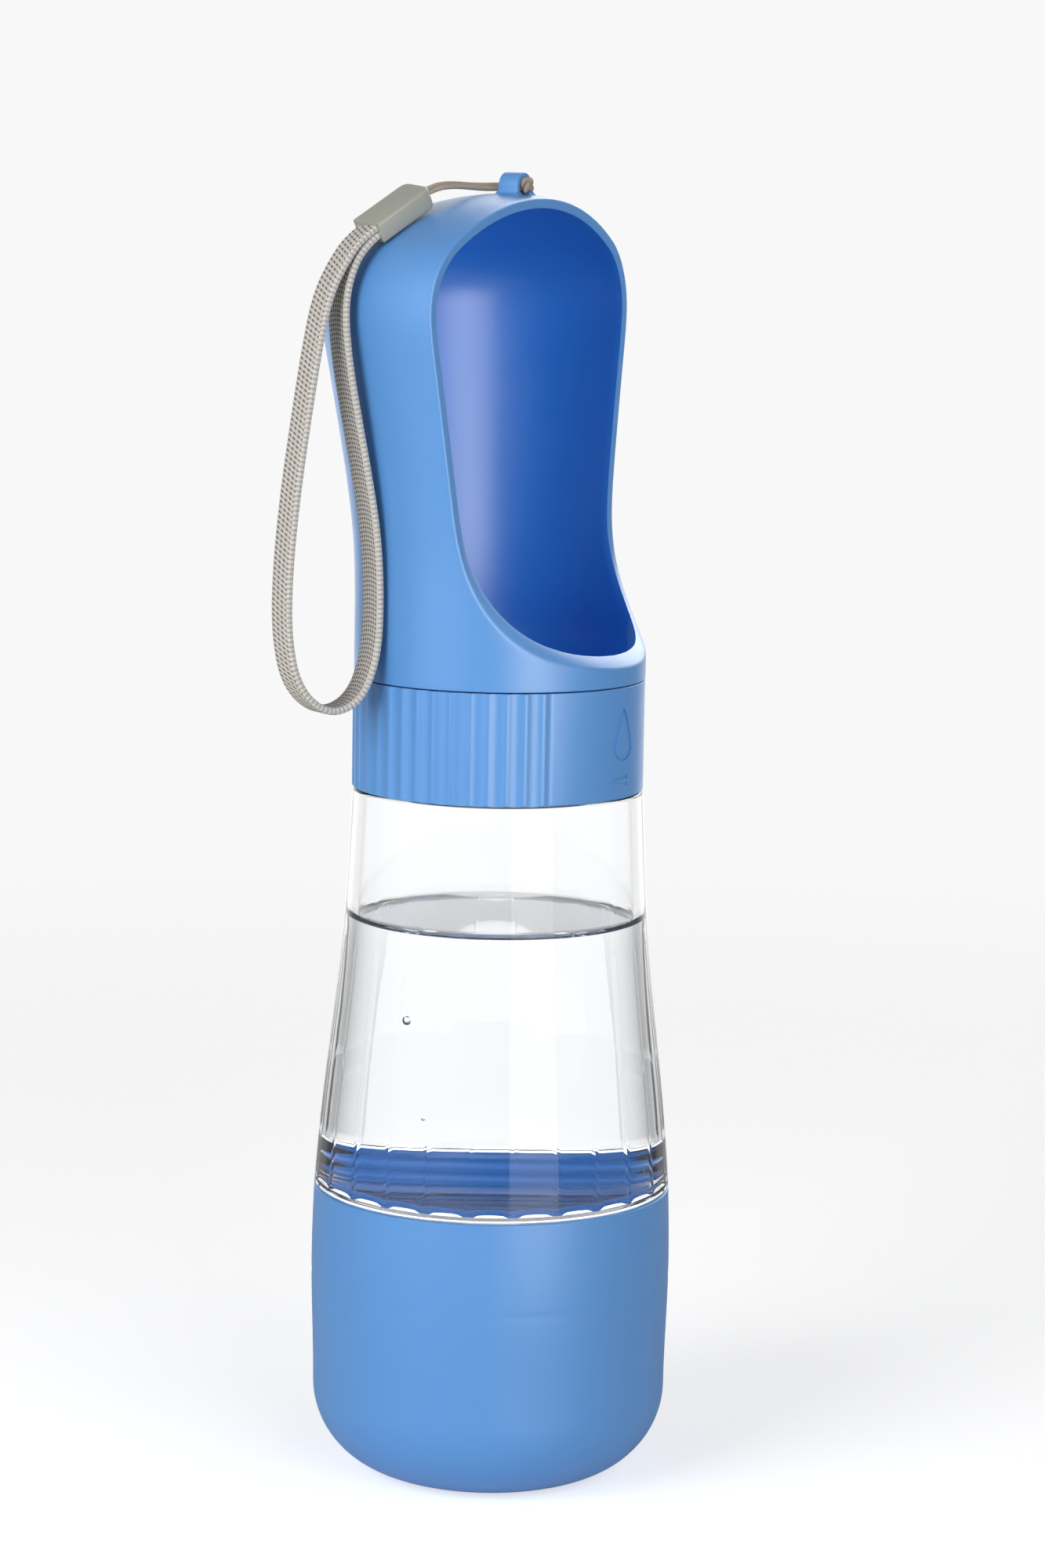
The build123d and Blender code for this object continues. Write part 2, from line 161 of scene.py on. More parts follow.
# Strap
CORD_ROUTE = [
    (-18.4, 8.3, 247.5), (-14.9, 7.1, 249.15), (-11.4, 6.4, 249.6), (-8.0, 6.05, 249.6),
    (-4.7, 5.7, 249.45), (-1.4, 5.0, 249.4), (0.5, 2.9, 249.5), (0.6, 0.4, 249.5),
    (0.6, -4.1, 249.5), (-0.6, -4.1, 248.95), (-0.6, 0.4, 248.95), (-0.65, 2.3, 248.9),
    (-2.2, 3.9, 248.85), (-4.9, 4.65, 249.0), (-8.2, 5.0, 249.15), (-11.5, 5.35, 249.15),
    (-15.0, 6.1, 248.75), (-18.8, 7.4, 247.1),
]
KNOT_CENTRE = (0, -4.3, LUG_CENTRE_Z)
SLEEVE_TOP = (-17.75, 7.65, 247.75)
SLEEVE_MOUTH = (-29.0, 11.6, 240.7)
SLEEVE_ROLL = -6.7
BACK_SHIFT = 20.0          # added to the UVs of the webbing's other face
WEBBING_AZIMUTH = 155.0
WEBBING_ROUTE = [          # distance out along the loop's plane, and height
    (29.3, 242.4), (33.6, 240.0), (37.6, 235.0), (41.0, 228.5), (43.2, 218.0), (45.2, 206.0),
    (47.2, 193.0), (48.7, 179.0), (48.9, 166.5), (46.6, 156.5), (40.0, 151.2), (33.0, 153.6),
    (29.6, 162.0), (29.2, 173.0), (29.9, 184.0), (31.8, 194.5), (34.2, 205.5), (36.6, 217.0),
    (37.6, 227.5), (35.6, 235.0), (31.8, 239.4), (28.6, 241.4),
]


# --- Settings -----------------------------------------------------------------
def length(name, description, millimetres):
    return FloatProperty(
        name=name, description=description, default=millimetres * MM, unit="LENGTH", precision=5
    )


def colour(name, description, default):
    return FloatVectorProperty(
        name=name, description=description, default=default, size=4, min=0, max=1, subtype="COLOR"
    )


def share(name, description, default):
    return FloatProperty(name=name, description=description, default=default, min=0, max=1, subtype="FACTOR")


def strength(name, description, default):
    return FloatProperty(name=name, description=description, default=default, min=0)


class BottleSizes(bpy.types.PropertyGroup):
    """Sizes of the moulded pieces that a user would change"""

    wall: length("Moulded wall", "Wall of the trough", 2.0)
    rim_round: length("Rim rounding", "Rounding of the opening's outer edge", 0.5)
    rim_inner_round: length("Inner rim rounding", "Rounding of the opening's inner edge", 0.22)
    clear_wall: length("Clear wall", "Wall of the clear body at its ridges", 2.3)
    flutes: IntProperty(name="Flutes", description="Flat flutes inside the clear body", default=24, min=6)
    water_level: length("Water level", "Height of the water over the floor", 109.5)
    meniscus: length("Meniscus", "How far the water climbs the wall", 1.7)
    thread_height: length("Thread height", "How far the spigot's thread stands out", 0.22)
    emblem_height: length("Emblem relief", "How far the drop and the arrow stand out", 0.3)
    ball_knot: length("Knot size", "Width of the stopper knot", 3.0)


class StrapSizes(bpy.types.PropertyGroup):
    """Sizes of the cord, sleeve and webbing"""

    cord: length("Cord", "Diameter of the thin cord", 1.0)
    webbing_width: length("Webbing width", "Width of the wrist loop", 6.2)
    webbing_thick: length("Webbing thickness", "Thickness of the wrist loop", 1.4)
    sleeve_width: length("Sleeve width", "Width of the moulded sleeve", 7.55)
    sleeve_thick: length("Sleeve thickness", "Thickness of the moulded sleeve", 4.1)
    sleeve_wall: length("Sleeve wall", "Wall at the sleeve's mouth", 0.55)


class BottleFinish(bpy.types.PropertyGroup):
    """Colours and roughness of the finishes"""

    plastic: colour("Plastic", "Blue of the moulded pieces", (0.098, 0.29, 0.645, 1))
    # Painted shade: a deeper, darker blue painted on the hollows' inner faces, standing in for their shade and the
    # light bounced between the blue walls.
    plastic_hollow_shade: colour("Plastic inside", "Deeper blue of the hollows, where light comes through the walls", (0.03, 0.21, 0.69, 1))
    # Painted shade: a dark blue painted on the cup's bore behind the clear body, standing in for the shade inside it.
    cup_bore_shade: colour("Cup inside", "Dark blue of the cup behind the clear body", (0.0, 0.145, 0.52, 1))
    plastic_rough: share("Plastic roughness", "Roughness of the blue plastic", 0.36)
    clear: colour("Clear", "Tint of the clear body", (0.985, 0.99, 0.995, 1))
    water: colour("Water", "Tint of the water", (0.985, 0.992, 1.0, 1))
    rubber: colour("Rubber", "Colour of the sealing rings", (0.05, 0.17, 0.5, 1))
    sleeve: colour("Sleeve", "Warm grey of the sleeve", (0.36, 0.362, 0.315, 1))
    webbing: colour("Webbing", "Base colour of the webbing", (0.62, 0.59, 0.545, 1))
    webbing_dark: colour("Webbing dashes", "Colour of the webbing's dark threads", (0.15, 0.125, 0.105, 1))
    cord: colour("Cord", "Colour of the cord", (0.52, 0.43, 0.34, 1))


class StageLook(bpy.types.PropertyGroup):
    """Light and floor"""

    floor: colour("Floor", "Colour of the floor", (0.86, 0.86, 0.87, 1))
    backdrop: strength("Backdrop", "Brightness seen behind the bottle", 0.94)
    floor_glow: strength("Floor glow", "Added brightness of the floor to the camera only", 0.58)
    through: strength("Through glass", "Brightness of the backdrop through the clear body", 1.04)
    overhead: strength("Overhead", "Added share of brightness over the horizon, for the water's surface", 0.9)
    edges: strength("Glass edges", "Brightness beside the backdrop, seen in the edges of clear parts", 0.3)
    sheen: strength("Sheen", "Brightness of the backdrop in grazing reflections", 1.5)
    left_wall: strength("Left wall", "Soft light from the left", 0.36)
    right_wall: strength("Right wall", "Soft light from the right", 0.27)
    back_wall: strength("Back wall", "Soft light from behind", 0.06)
    rim_light: strength("Rim light", "Brightness high behind on the right, seen in the lip", 5.0)
    ceiling: strength("Ceiling", "Brightness overhead in reflections", 0.5)
    key: strength("Key", "Brightness of the large left softbox", 4.95)
    strip: strength("Strip", "Brightness of the tall strip", 2.94)
    strip_sheen: strength("Strip sheen", "Added brightness of the tall strip in reflections", 4.2)
    side: strength("Side", "Brightness of the right softbox", 0.63)


# --- Outlines -----------------------------------------------------------------
def arc_points(centre, radius, start, end, steps):
    """Points on an arc, from one angle in degrees to another."""
    turns = np.radians(np.linspace(start, end, steps + 1))
    return [(centre[0] + radius * math.cos(turn), centre[1] + radius * math.sin(turn)) for turn in turns]


def flowing_curve(knots, steps, start=None, end=None):
    """Curve of even curvature through a few knots, with an optional direction at each end."""
    points = np.array(knots, float)
    spans = np.linalg.norm(np.diff(points, axis=0), axis=1)
    last = len(points) - 1
    weights = np.eye(last + 1)
    sides = np.zeros_like(points)
    for index in range(1, last):
        before, after = spans[index - 1], spans[index]
        weights[index, index - 1:index + 2] = after, 2 * (before + after), before
        arriving = (points[index] - points[index - 1]) * after / before
        leaving = (points[index + 1] - points[index]) * before / after
        sides[index] = 3 * (arriving + leaving)
    for end_index, beside, span, direction in ((0, 1, 0, start), (last, last - 1, last - 1, end)):
        if direction is None:
            weights[end_index, end_index] = 2
            weights[end_index, beside] = 1
            sides[end_index] = 3 * (points[span + 1] - points[span]) / spans[span]
        else:
            sides[end_index] = direction
    slopes = np.linalg.solve(weights, sides)
    curve = [points[0]]
    for index, span in enumerate(spans):
        for step in range(1, steps + 1):
            t = step / steps
            rise = t * t * (3 - 2 * t)
            pull_in = span * t * (1 - t) ** 2 * slopes[index]
            pull_out = span * t * t * (t - 1) * slopes[index + 1]
            curve.append(points[index] * (1 - rise) + points[index + 1] * rise + pull_in + pull_out)
    return [tuple(float(value) for value in point) for point in curve]


def eased(outline, steps=5):
    """The outline with each corner that has a third value rounded to that radius."""
    rounded = []
    for index, corner in enumerate(outline):
        here = Vector(corner[:2])
        if len(corner) == 2:
            rounded.append(tuple(here))
            continue
        before = (Vector(outline[index - 1][:2]) - here).normalized()
        after = (Vector(outline[(index + 1) % len(outline)][:2]) - here).normalized()
        half = before.angle(after) / 2
        reach = corner[2] / math.tan(half)
        centre = here + (before + after).normalized() * corner[2] / math.sin(half)
        first = (here + before * reach - centre).normalized()
        final = (here + after * reach - centre).normalized()
        rounded += [tuple(centre + first.slerp(final, step / steps) * corner[2]) for step in range(steps + 1)]
    return rounded


def even_steps(start, end, spacing):
    """Evenly spaced points from one point to another, without the last."""
    count = max(1, round((Vector(end) - Vector(start)).length / spacing))
    return [tuple(Vector(start).lerp(Vector(end), step / count)) for step in range(count)]


# --- Meshes -------------------------------------------------------------------
def spun(outline, steps, turn=0.0):
    """A shell spun round Z from an outline of radius and height that starts and ends on the axis."""
    bm = bmesh.new()
    turned = Matrix.Rotation(math.radians(turn), 3, "Z")
    verts = [bm.verts.new(turned @ Vector((radius * MM, 0, height * MM))) for radius, height in outline]
    edges = [bm.edges.new(pair) for pair in zip(verts, verts[1:])]
    bmesh.ops.spin(
        bm, geom=verts + edges, cent=(0, 0, 0), axis=UP, dvec=(0, 0, 0), angle=math.tau, steps=steps,
        use_merge=True, use_duplicate=False,
    )
    bmesh.ops.remove_doubles(bm, verts=bm.verts, dist=MM / 1000)
    bmesh.ops.recalc_face_normals(bm, faces=bm.faces)
    return bm


def extruded(outline, across, reach):
    """A bar of a flat outline, from -reach to reach along X or Y."""
    bm = bmesh.new()
    if across == "X":
        verts = [bm.verts.new(Vector((-reach, y, z)) * MM) for y, z in outline]
        way = Vector((2 * reach * MM, 0, 0))
    else:
        verts = [bm.verts.new(Vector((x, -reach, z)) * MM) for x, z in outline]
        way = Vector((0, 2 * reach * MM, 0))
    face = bm.faces.new(verts)
    moved = bmesh.ops.extrude_face_region(bm, geom=[face], use_keep_orig=True)["geom"]
    bmesh.ops.translate(bm, vec=way, verts=[item for item in moved if isinstance(item, bmesh.types.BMVert)])
    bmesh.ops.recalc_face_normals(bm, faces=bm.faces)
    return bm


def peg(x, y, bottom, top, radius):
    """A round bar that stands along Z."""
    bm = bmesh.new()
    place = Matrix.Translation(Vector((x, y, (bottom + top) / 2)) * MM)
    bmesh.ops.create_cone(
        bm, cap_ends=True, segments=48, radius1=radius * MM, radius2=radius * MM,
        depth=(top - bottom) * MM, matrix=place,
    )
    return bm


def combine(base, tool, operation="DIFFERENCE"):
    """Two closed meshes joined or cut; faces that come from the tool get material index 1."""
    scratch = []
    for source, index in ((base, 0), (tool, 1)):
        for face in source.faces:
            face.material_index = index
        mesh = bpy.data.meshes.new("scratch")
        source.to_mesh(mesh)
        source.free()
        mesh.materials.append(None)
        mesh.materials.append(None)
        holder = bpy.data.objects.new("scratch", mesh)
        bpy.context.scene.collection.objects.link(holder)
        scratch.append(holder)
    modifier = scratch[0].modifiers.new("combine", "BOOLEAN")
    modifier.operation = operation
    modifier.solver = "EXACT"
    modifier.object = scratch[1]
    result = bmesh.new()
    result.from_object(scratch[0], bpy.context.evaluated_depsgraph_get())
    for holder in scratch:
        mesh = holder.data
        bpy.data.objects.remove(holder)
        bpy.data.meshes.remove(mesh)
    return result


def polar(vert):
    """Radius and height in millimetres and azimuth in degrees of a vertex."""
    return math.hypot(vert.co.x, vert.co.y) / MM, vert.co.z / MM, math.degrees(math.atan2(vert.co.y, vert.co.x))


def set_radius(vert, radius, new_radius):
    vert.co.xy *= new_radius / radius


def nearest_on_section(section, radius, height):
    """Segment of a section that is nearest to a point, the share along it, and the gap."""
    point = np.array((radius, height))
    starts, ends = section[:-1], section[1:]
    runs = ends - starts
    shares = np.clip(((point - starts) * runs).sum(1) / (runs * runs).sum(1), 0, 1)
    gaps = np.linalg.norm(starts + runs * shares[:, None] - point, axis=1)
    best = int(gaps.argmin())
    return best, shares[best], gaps[best]


def mark_painted_shade(bm, section, reach=0.06, value=1.0):
    """Gives the faces that lie on an inner section an "inside" value, which picks a painted shade colour in the blue
    plastic.
    """
    layer = bm.faces.layers.float.get("inside") or bm.faces.layers.float.new("inside")
    section = np.array(section)
    for face in bm.faces:
        centre = face.calc_center_median() / MM
        near = nearest_on_section(section, math.hypot(centre.x, centre.y), centre.z)[2] < reach
        face[layer] = value if near else 0.0


def new_piece(name, bm, body, material, nodes=(), sharp=32.0):
    """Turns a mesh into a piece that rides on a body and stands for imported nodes."""
    for edge in bm.edges:
        edge.smooth = len(edge.link_faces) == 2 and edge.calc_face_angle(0) < math.radians(sharp)
    for face in bm.faces:
        face.smooth = True
        face.material_index = 0
    mesh = bpy.data.meshes.new(name)
    bm.to_mesh(mesh)
    bm.free()
    mesh.materials.append(material)
    piece = bpy.data.objects.new(name, mesh)
    bpy.context.scene.collection.objects.link(piece)
    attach(piece, body)
    if nodes:
        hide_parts(*nodes)
    return piece


# --- Food cup -----------------------------------------------------------------
def cup_outline():
    """Closed half outline of the cup: bulging wall, full rounding below, stepped bore."""
    flat = BASE_WALL_RADIUS - BASE_CORNER
    outside = arc_points((flat, BASE_CORNER), BASE_CORNER, -90, 0, 24)
    wall = flowing_curve(
        [(BASE_WALL_RADIUS, BASE_CORNER), (CUP_RADIUS, BULGE_Z), (CUP_RIM_RADIUS, CUP_RIM_Z - 0.6)],
        24, start=(0, 1), end=(-0.04, 1),
    )
    rim = eased([
        wall[-1], (CUP_RIM_RADIUS, CUP_RIM_Z, 0.22), (CUP_BORE_RADIUS, CUP_RIM_Z, 0.2),
        (CUP_BORE_RADIUS, CUP_RIM_Z - 1),
    ])
    bore = even_steps((CUP_BORE_RADIUS, CUP_RIM_Z - 1), (CUP_BORE_RADIUS, CUP_LEDGE_Z), 0.25)
    inner_corner = BASE_CORNER - CUP_FLOOR
    inner_wall = flat + inner_corner
    inside = arc_points((flat, BASE_CORNER), inner_corner, 0, -90, 16)
    ledge = eased([(CUP_BORE_RADIUS, CUP_LEDGE_Z + 1), (CUP_BORE_RADIUS, CUP_LEDGE_Z),
                   (inner_wall, CUP_LEDGE_Z, 0.4), (inner_wall, BASE_CORNER)])
    return [(0, 0)] + outside + wall[1:] + rim[1:-1] + bore + ledge[1:-1] + inside + [(0, CUP_FLOOR)]


def build_food_cup(finish):
    """The cup, with a fine part line outside and the thread's grooves in its bore."""
    bm = spun(cup_outline(), BODY_STEPS)
    for vert in bm.verts:
        radius, height, azimuth = polar(vert)
        if radius > CUP_RIM_RADIUS - 0.5:
            dip = max(0.0, 1 - abs(height - PART_LINE_Z) / 0.9)
            if dip > 0:
                set_radius(vert, radius, radius - PART_LINE_DEPTH * dip)
        elif abs(radius - CUP_BORE_RADIUS) < 0.05 and CUP_LEDGE_Z + 2 < height < CUP_RIM_Z - 1:
            turns = (height / THREAD_PITCH - azimuth / 360) % 1
            ridge = max(0.0, math.cos(math.tau * turns)) ** 2
            set_radius(vert, radius, radius + 0.25 * ridge)
    bore = [(CUP_BORE_RADIUS, CUP_RIM_Z), (CUP_BORE_RADIUS, CUP_LEDGE_Z), (0, CUP_LEDGE_Z)]
    # The bore is marked for the dark blue painted shade.
    mark_painted_shade(bm, bore, 0.4, 2.0)
    return new_piece("food_cup_moulding", bm, "cup", finish, ["food_cup"])


# --- Clear bottle and water ---------------------------------------------------
def body_curve(inset):
    """Outer curve of the clear body, from its foot to its shoulder, moved in by an inset."""
    return flowing_curve([(radius - inset, BODY_FOOT_Z + rise) for rise, radius in BODY_SECTIONS], 8)


def inner_curve(wall):
    """The fluted wall's ridges, from the spigot to the shoulder."""
    heights = [BODY_FOOT_Z + rise for rise, _ in BODY_SECTIONS]
    heights[0], heights[-1] = FLUTE_FOOT_Z, FLUTE_TOP_Z
    return flowing_curve([(radius - wall, z) for z, (_, radius) in zip(heights, BODY_SECTIONS)], 8)


def flatten_flutes(bm, wall, flutes):
    """Brings the inner wall between two ridges in to a flat."""
    outer = body_curve(0)
    outer_heights = [z for _, z in outer]
    outer_radii = [r for r, _ in outer]
    half = math.pi / flutes
    for vert in bm.verts:
        radius, height, azimuth = polar(vert)
        outside = np.interp(height, outer_heights, outer_radii)
        fluted = FLUTE_FOOT_Z - 0.01 < height < FLUTE_TOP_Z + 0.01
        if fluted and outside - wall - 0.25 < radius < outside - wall / 2:
            turn = math.radians(azimuth - FLUTE_TURN) % (2 * half) - half
            depth = float(np.interp(height, FLUTE_FADE, (1.0, 0.15)))
            set_radius(vert, radius, radius * (1 + depth * (math.cos(half) / math.cos(turn) - 1)))


def bottle_outline(sizes):
    """Closed half outline of the clear body, with its neck and its lower spigot."""
    wall = sizes.clear_wall / MM
    low, top = BODY_LOW.z, BODY_HIGH.z
    groove_low, groove_top, groove_radius = RING_GROOVE
    inner = inner_curve(wall)
    foot_radius = BODY_SECTIONS[0][1]
    shoulder = BODY_SECTIONS[-1][1]
    outside = body_curve(0)
    outline = [(0, low), (SPIGOT_RADIUS, low, 0.4), (SPIGOT_RADIUS, groove_low),
               (groove_radius, groove_low), (groove_radius, groove_top), (SPIGOT_RADIUS, groove_top)]
    outline = eased(outline + [(SPIGOT_RADIUS, groove_top + 0.4)])[:-1]
    outline += even_steps((SPIGOT_RADIUS, groove_top + 0.4), (SPIGOT_RADIUS, BODY_FOOT_Z), 0.2)
    outline += eased([(SPIGOT_RADIUS, BODY_FOOT_Z), (foot_radius, BODY_FOOT_Z, 0.3), outside[1]])[:-1]
    outline += outside[1:]
    outline += arc_points((shoulder - SHOULDER_ROUND, SHOULDER_Z - SHOULDER_ROUND), SHOULDER_ROUND, 0, 90, 12)[1:]
    outline += eased([
        (shoulder - SHOULDER_ROUND, SHOULDER_Z), (NECK_RADIUS, SHOULDER_Z), (NECK_RADIUS, top, 0.4),
        (NECK_INNER_RADIUS, top, 0.4), (NECK_INNER_RADIUS, SHOULDER_Z),
        (inner[-1][0] - THROAT_EASE, FLUTE_TOP_Z + 0.05),
    ])[1:]
    outline += inner[::-1]
    outline += eased([
        inner[0], (inner[0][0], FLUTE_FOOT_Z - 0.05), (SPIGOT_INNER_RADIUS, FLUTE_FOOT_Z - BORE_STEP),
        (SPIGOT_INNER_RADIUS, low + SPIGOT_FLOOR, 1.2), (0, low + SPIGOT_FLOOR),
    ])[1:]
    return outline


def build_bottle_body(sizes, finish):
    """The clear body: smooth outside, flat flutes inside, a thread on its lower spigot."""
    bm = spun(bottle_outline(sizes), BODY_STEPS, FLUTE_TURN)
    flatten_flutes(bm, sizes.clear_wall / MM, sizes.flutes)
    height_over = sizes.thread_height / MM
    for vert in bm.verts:
        radius, height, azimuth = polar(vert)
        if abs(radius - SPIGOT_RADIUS) < 0.02 and RING_GROOVE[1] + 0.3 < height < BODY_FOOT_Z - 0.3:
            turns = (height / THREAD_PITCH - azimuth / 360) % 1
            set_radius(vert, radius, radius + height_over * (1 + math.cos(math.tau * turns)) / 2)
    return new_piece("clear_body", bm, "bottle", finish, ["bottle_body"], sharp=9.0)


def build_water(sizes, finish):
    """Water that wets the walls, with its curved edge and two small bubbles."""
    wall = sizes.clear_wall / MM - 0.05
    level = sizes.water_level / MM
    inner = [point for point in inner_curve(wall) if point[1] < level]
    inner_all = inner_curve(wall)
    edge_radius = float(np.interp(level, [z for _, z in inner_all], [r for r, _ in inner_all]))
    low = BODY_LOW.z + SPIGOT_FLOOR - 0.05
    spigot = SPIGOT_INNER_RADIUS + 0.05
    climb = sizes.meniscus / MM
    outline = eased([
        (0, low), (spigot, low, 1.2), (spigot, FLUTE_FOOT_Z - BORE_STEP), (inner[0][0], FLUTE_FOOT_Z - 0.05),
    ])
    outline += inner
    outline += arc_points((edge_radius - climb, level + climb), climb, 0, -90, 9)
    outline += [(edge_radius * share, level) for share in (0.75, 0.5, 0.25, 0.0)]
    bm = spun(outline, BODY_STEPS, FLUTE_TURN)
    flatten_flutes(bm, wall, sizes.flutes)
    for place, radius in (((-26.4, 1.6, 93.0), 0.9), ((-28.0, -3.3, 75.0), 0.4)):
        bubble = bmesh.ops.create_icosphere(
            bm, subdivisions=3, radius=radius * MM, matrix=Matrix.Translation(Vector(place) * MM)
        )
        faces = {face for vert in bubble["verts"] for face in vert.link_faces}
        bmesh.ops.reverse_faces(bm, faces=list(faces))
    return new_piece("water", bm, "bottle", finish, sharp=9.0)


# --- Lock collar --------------------------------------------------------------
def collar_outline():
    """Half outline of the collar: ribbed wall, the trough's seat, the web and the bore."""
    top = COLLAR_HIGH.z
    groove_low, groove_top, groove_radius = SNAP_GROOVE
    return eased([
        (0, WEB_TOP_Z), (COLLAR_SEAT_RADIUS, WEB_TOP_Z), (COLLAR_SEAT_RADIUS, groove_low),
        (groove_radius, groove_low), (groove_radius, groove_top), (COLLAR_SEAT_RADIUS, groove_top),
        (COLLAR_SEAT_RADIUS, top, 0.2), (COLLAR_RADIUS, top, 0.15), (COLLAR_RADIUS, COLLAR_Z, 0.35),
        (COLLAR_BORE_RADIUS, COLLAR_Z, 0.3), (COLLAR_BORE_RADIUS, WEB_Z), (0, WEB_Z),
    ])


def build_collar(sizes, finish):
    """The collar, scalloped all round but for its front panel."""
    bm = spun(collar_outline(), COLLAR_STEPS)
    for vert in bm.verts:
        radius, _, azimuth = polar(vert)
        from_front = abs((azimuth + 90 + 180) % 360 - 180)
        if radius < COLLAR_RADIUS - 1:
            continue
        if from_front < PANEL_HALF_ANGLE:
            set_radius(vert, radius, radius - PANEL_DROP)
            continue
        from_rib = ((azimuth - 90) / RIB_PITCH + 0.5) % 1 - 0.5
        arc = math.radians(abs(from_rib) * RIB_PITCH) * COLLAR_RADIUS
        depth = RIB_DEPTH * max(0.0, 1 - (2 * arc / RIB_WIDTH) ** 2)
        set_radius(vert, radius, min(radius, COLLAR_RADIUS - depth))
    bm = combine(bm, peg(-PORT_OFFSET, 0, WEB_Z - 1, WEB_TOP_Z + 1, PORT_RADIUS))
    return new_piece("collar_moulding", bm, "collar", finish, ["lock_collar"], sharp=26.0)


def drop_outline(centre_z, size):
    """A plain water drop: round below, drawn to a point above."""
    lower = arc_points((0, centre_z), size, 200, 340, 18)
    tip = (0, centre_z + 2.15 * size)
    right = flowing_curve([lower[-1], (0.42 * size, centre_z + 1.35 * size), tip], 6)
    return lower + right[1:] + [(-x, z) for x, z in right[-2:0:-1]]


def arrow_outline(centre_z, reach, thick):
    """A plain arrow that points to the right."""
    head = reach * 0.55
    return [
        (-reach, centre_z - thick / 2), (reach - head, centre_z - thick / 2), (reach - head, centre_z - head * 0.62),
        (reach, centre_z), (reach - head, centre_z + head * 0.62), (reach - head, centre_z + thick / 2),
        (-reach, centre_z + thick / 2),
    ]


def build_emblem(sizes, finish):
    """A drop and an arrow in low relief on the collar's front panel."""
    bm = bmesh.new()
    relief = sizes.emblem_height / MM
    sunk = 0.15
    for outline, line in ((drop_outline(145.6, 3.1), 0.55), (arrow_outline(138.6, 3.2, 0.8), 0)):
        face = bm.faces.new([bm.verts.new((s * MM, 0, z * MM)) for s, z in outline])
        if line:
            bmesh.ops.inset_region(bm, faces=[face], thickness=line * MM, use_even_offset=True, use_boundary=True)
            bmesh.ops.delete(bm, geom=[face], context="FACES")
    bmesh.ops.subdivide_edges(bm, edges=bm.edges[:], cuts=1, use_grid_fill=True)
    lifted = bmesh.ops.extrude_face_region(bm, geom=bm.faces[:], use_keep_orig=True)["geom"]
    lifted = [item for item in lifted if isinstance(item, bmesh.types.BMVert)]
    bmesh.ops.translate(bm, vec=(0, -(relief + sunk) * MM, 0), verts=lifted)
    bmesh.ops.recalc_face_normals(bm, faces=bm.faces)
    for vert in bm.verts:
        radius = (COLLAR_RADIUS - PANEL_DROP - sunk) * MM - vert.co.y
        turn = vert.co.x / (COLLAR_RADIUS * MM)
        vert.co = Vector((radius * math.sin(turn), -radius * math.cos(turn), vert.co.z))
    return new_piece("collar_emblem", bm, "collar", finish)


# --- Trough -------------------------------------------------------------------
def wall_section(inset, foot):
    """Half section of the trough's wall, from its foot to the middle of the crown."""
    tube = TUBE_RADIUS - inset
    head = HEAD_RADIUS - inset
    centre_x = HEAD_RADIUS - SHOULDER_RADIUS
    crown_centre = CROWN_Z - CROWN_RADIUS
    rise = math.sqrt((CROWN_RADIUS - SHOULDER_RADIUS) ** 2 - centre_x ** 2)
    head_z = crown_centre + rise
    lean = math.degrees(math.atan2(rise, centre_x))
    flare = flowing_curve(
        [(tube, TUBE_TOP_Z), *[(radius - inset, z) for radius, z in FLARE], (head, head_z)],
        8, start=(0, 1), end=(0, 1),
    )
    shoulder = arc_points((centre_x, head_z), SHOULDER_RADIUS - inset, 0, lean, 14)
    crown = arc_points((0, crown_centre), CROWN_RADIUS - inset, lean, 90, 16)
    return foot + flare + shoulder[1:] + crown[1:-1] + [(0, CROWN_Z - inset)]


def front_cut(widening, lip=0.0):
    """Bar of all that lies in front of the opening's edge, widened by a distance or drawn in at the lip."""
    edge = np.array(flowing_curve(FRONT_CUT, 12))
    widening = (widening - np.interp(edge[:, 1], LIP_FADE, (lip, 0.0)))[:, None]
    along = np.gradient(edge, axis=0)
    along /= np.linalg.norm(along, axis=1)[:, None]
    edge = edge + widening * np.stack([along[:, 1], -along[:, 0]], axis=1)
    outline = [tuple(point) for point in edge]
    return extruded(outline + [(-60, outline[-1][1])], "X", 60)


def settle(verts, surfaces, rounds=10):
    """Slides vertices on to the line where surfaces meet."""
    for vert in verts:
        for _ in range(rounds):
            for surface in surfaces:
                vert.co = surface.find_nearest(vert.co)[0]


def move_inside(verts, outer, inner):
    """Takes vertices from the outer section to the same place on the inner one."""
    outer, inner = np.array(outer), np.array(inner)
    for vert in verts:
        radius, height, _ = polar(vert)
        index, part, _ = nearest_on_section(outer, radius, height)
        new_radius, new_height = inner[index] + (inner[index + 1] - inner[index]) * part
        if radius > 1e-6:
            set_radius(vert, radius, new_radius)
        vert.co.z = new_height * MM


def trough_underside():
    """From the axis out to the foot of the tube: seal pocket, spigot, snap bead and ring groove."""
    return eased([
        (0, PLATE_Z), (20.3, PLATE_Z), (20.3, WEB_TOP_Z + 0.4), (21.5, WEB_TOP_Z + 0.4), (21.5, PLATE_Z),
        (22.4, PLATE_Z), (22.4, 151.9), (25.25, 151.9), (25.25, 152.5), (25.7, 152.5, 0.3),
        (25.7, 153.7, 0.3), (25.25, 153.7), (25.25, 154.4), (23.95, 154.4), (23.95, 156.2),
        (25.25, 156.2), (25.25, SEAM_Z), (TUBE_RADIUS, SEAM_Z, 0.12), (TUBE_RADIUS, SEAM_Z + 2),
    ])[:-1]


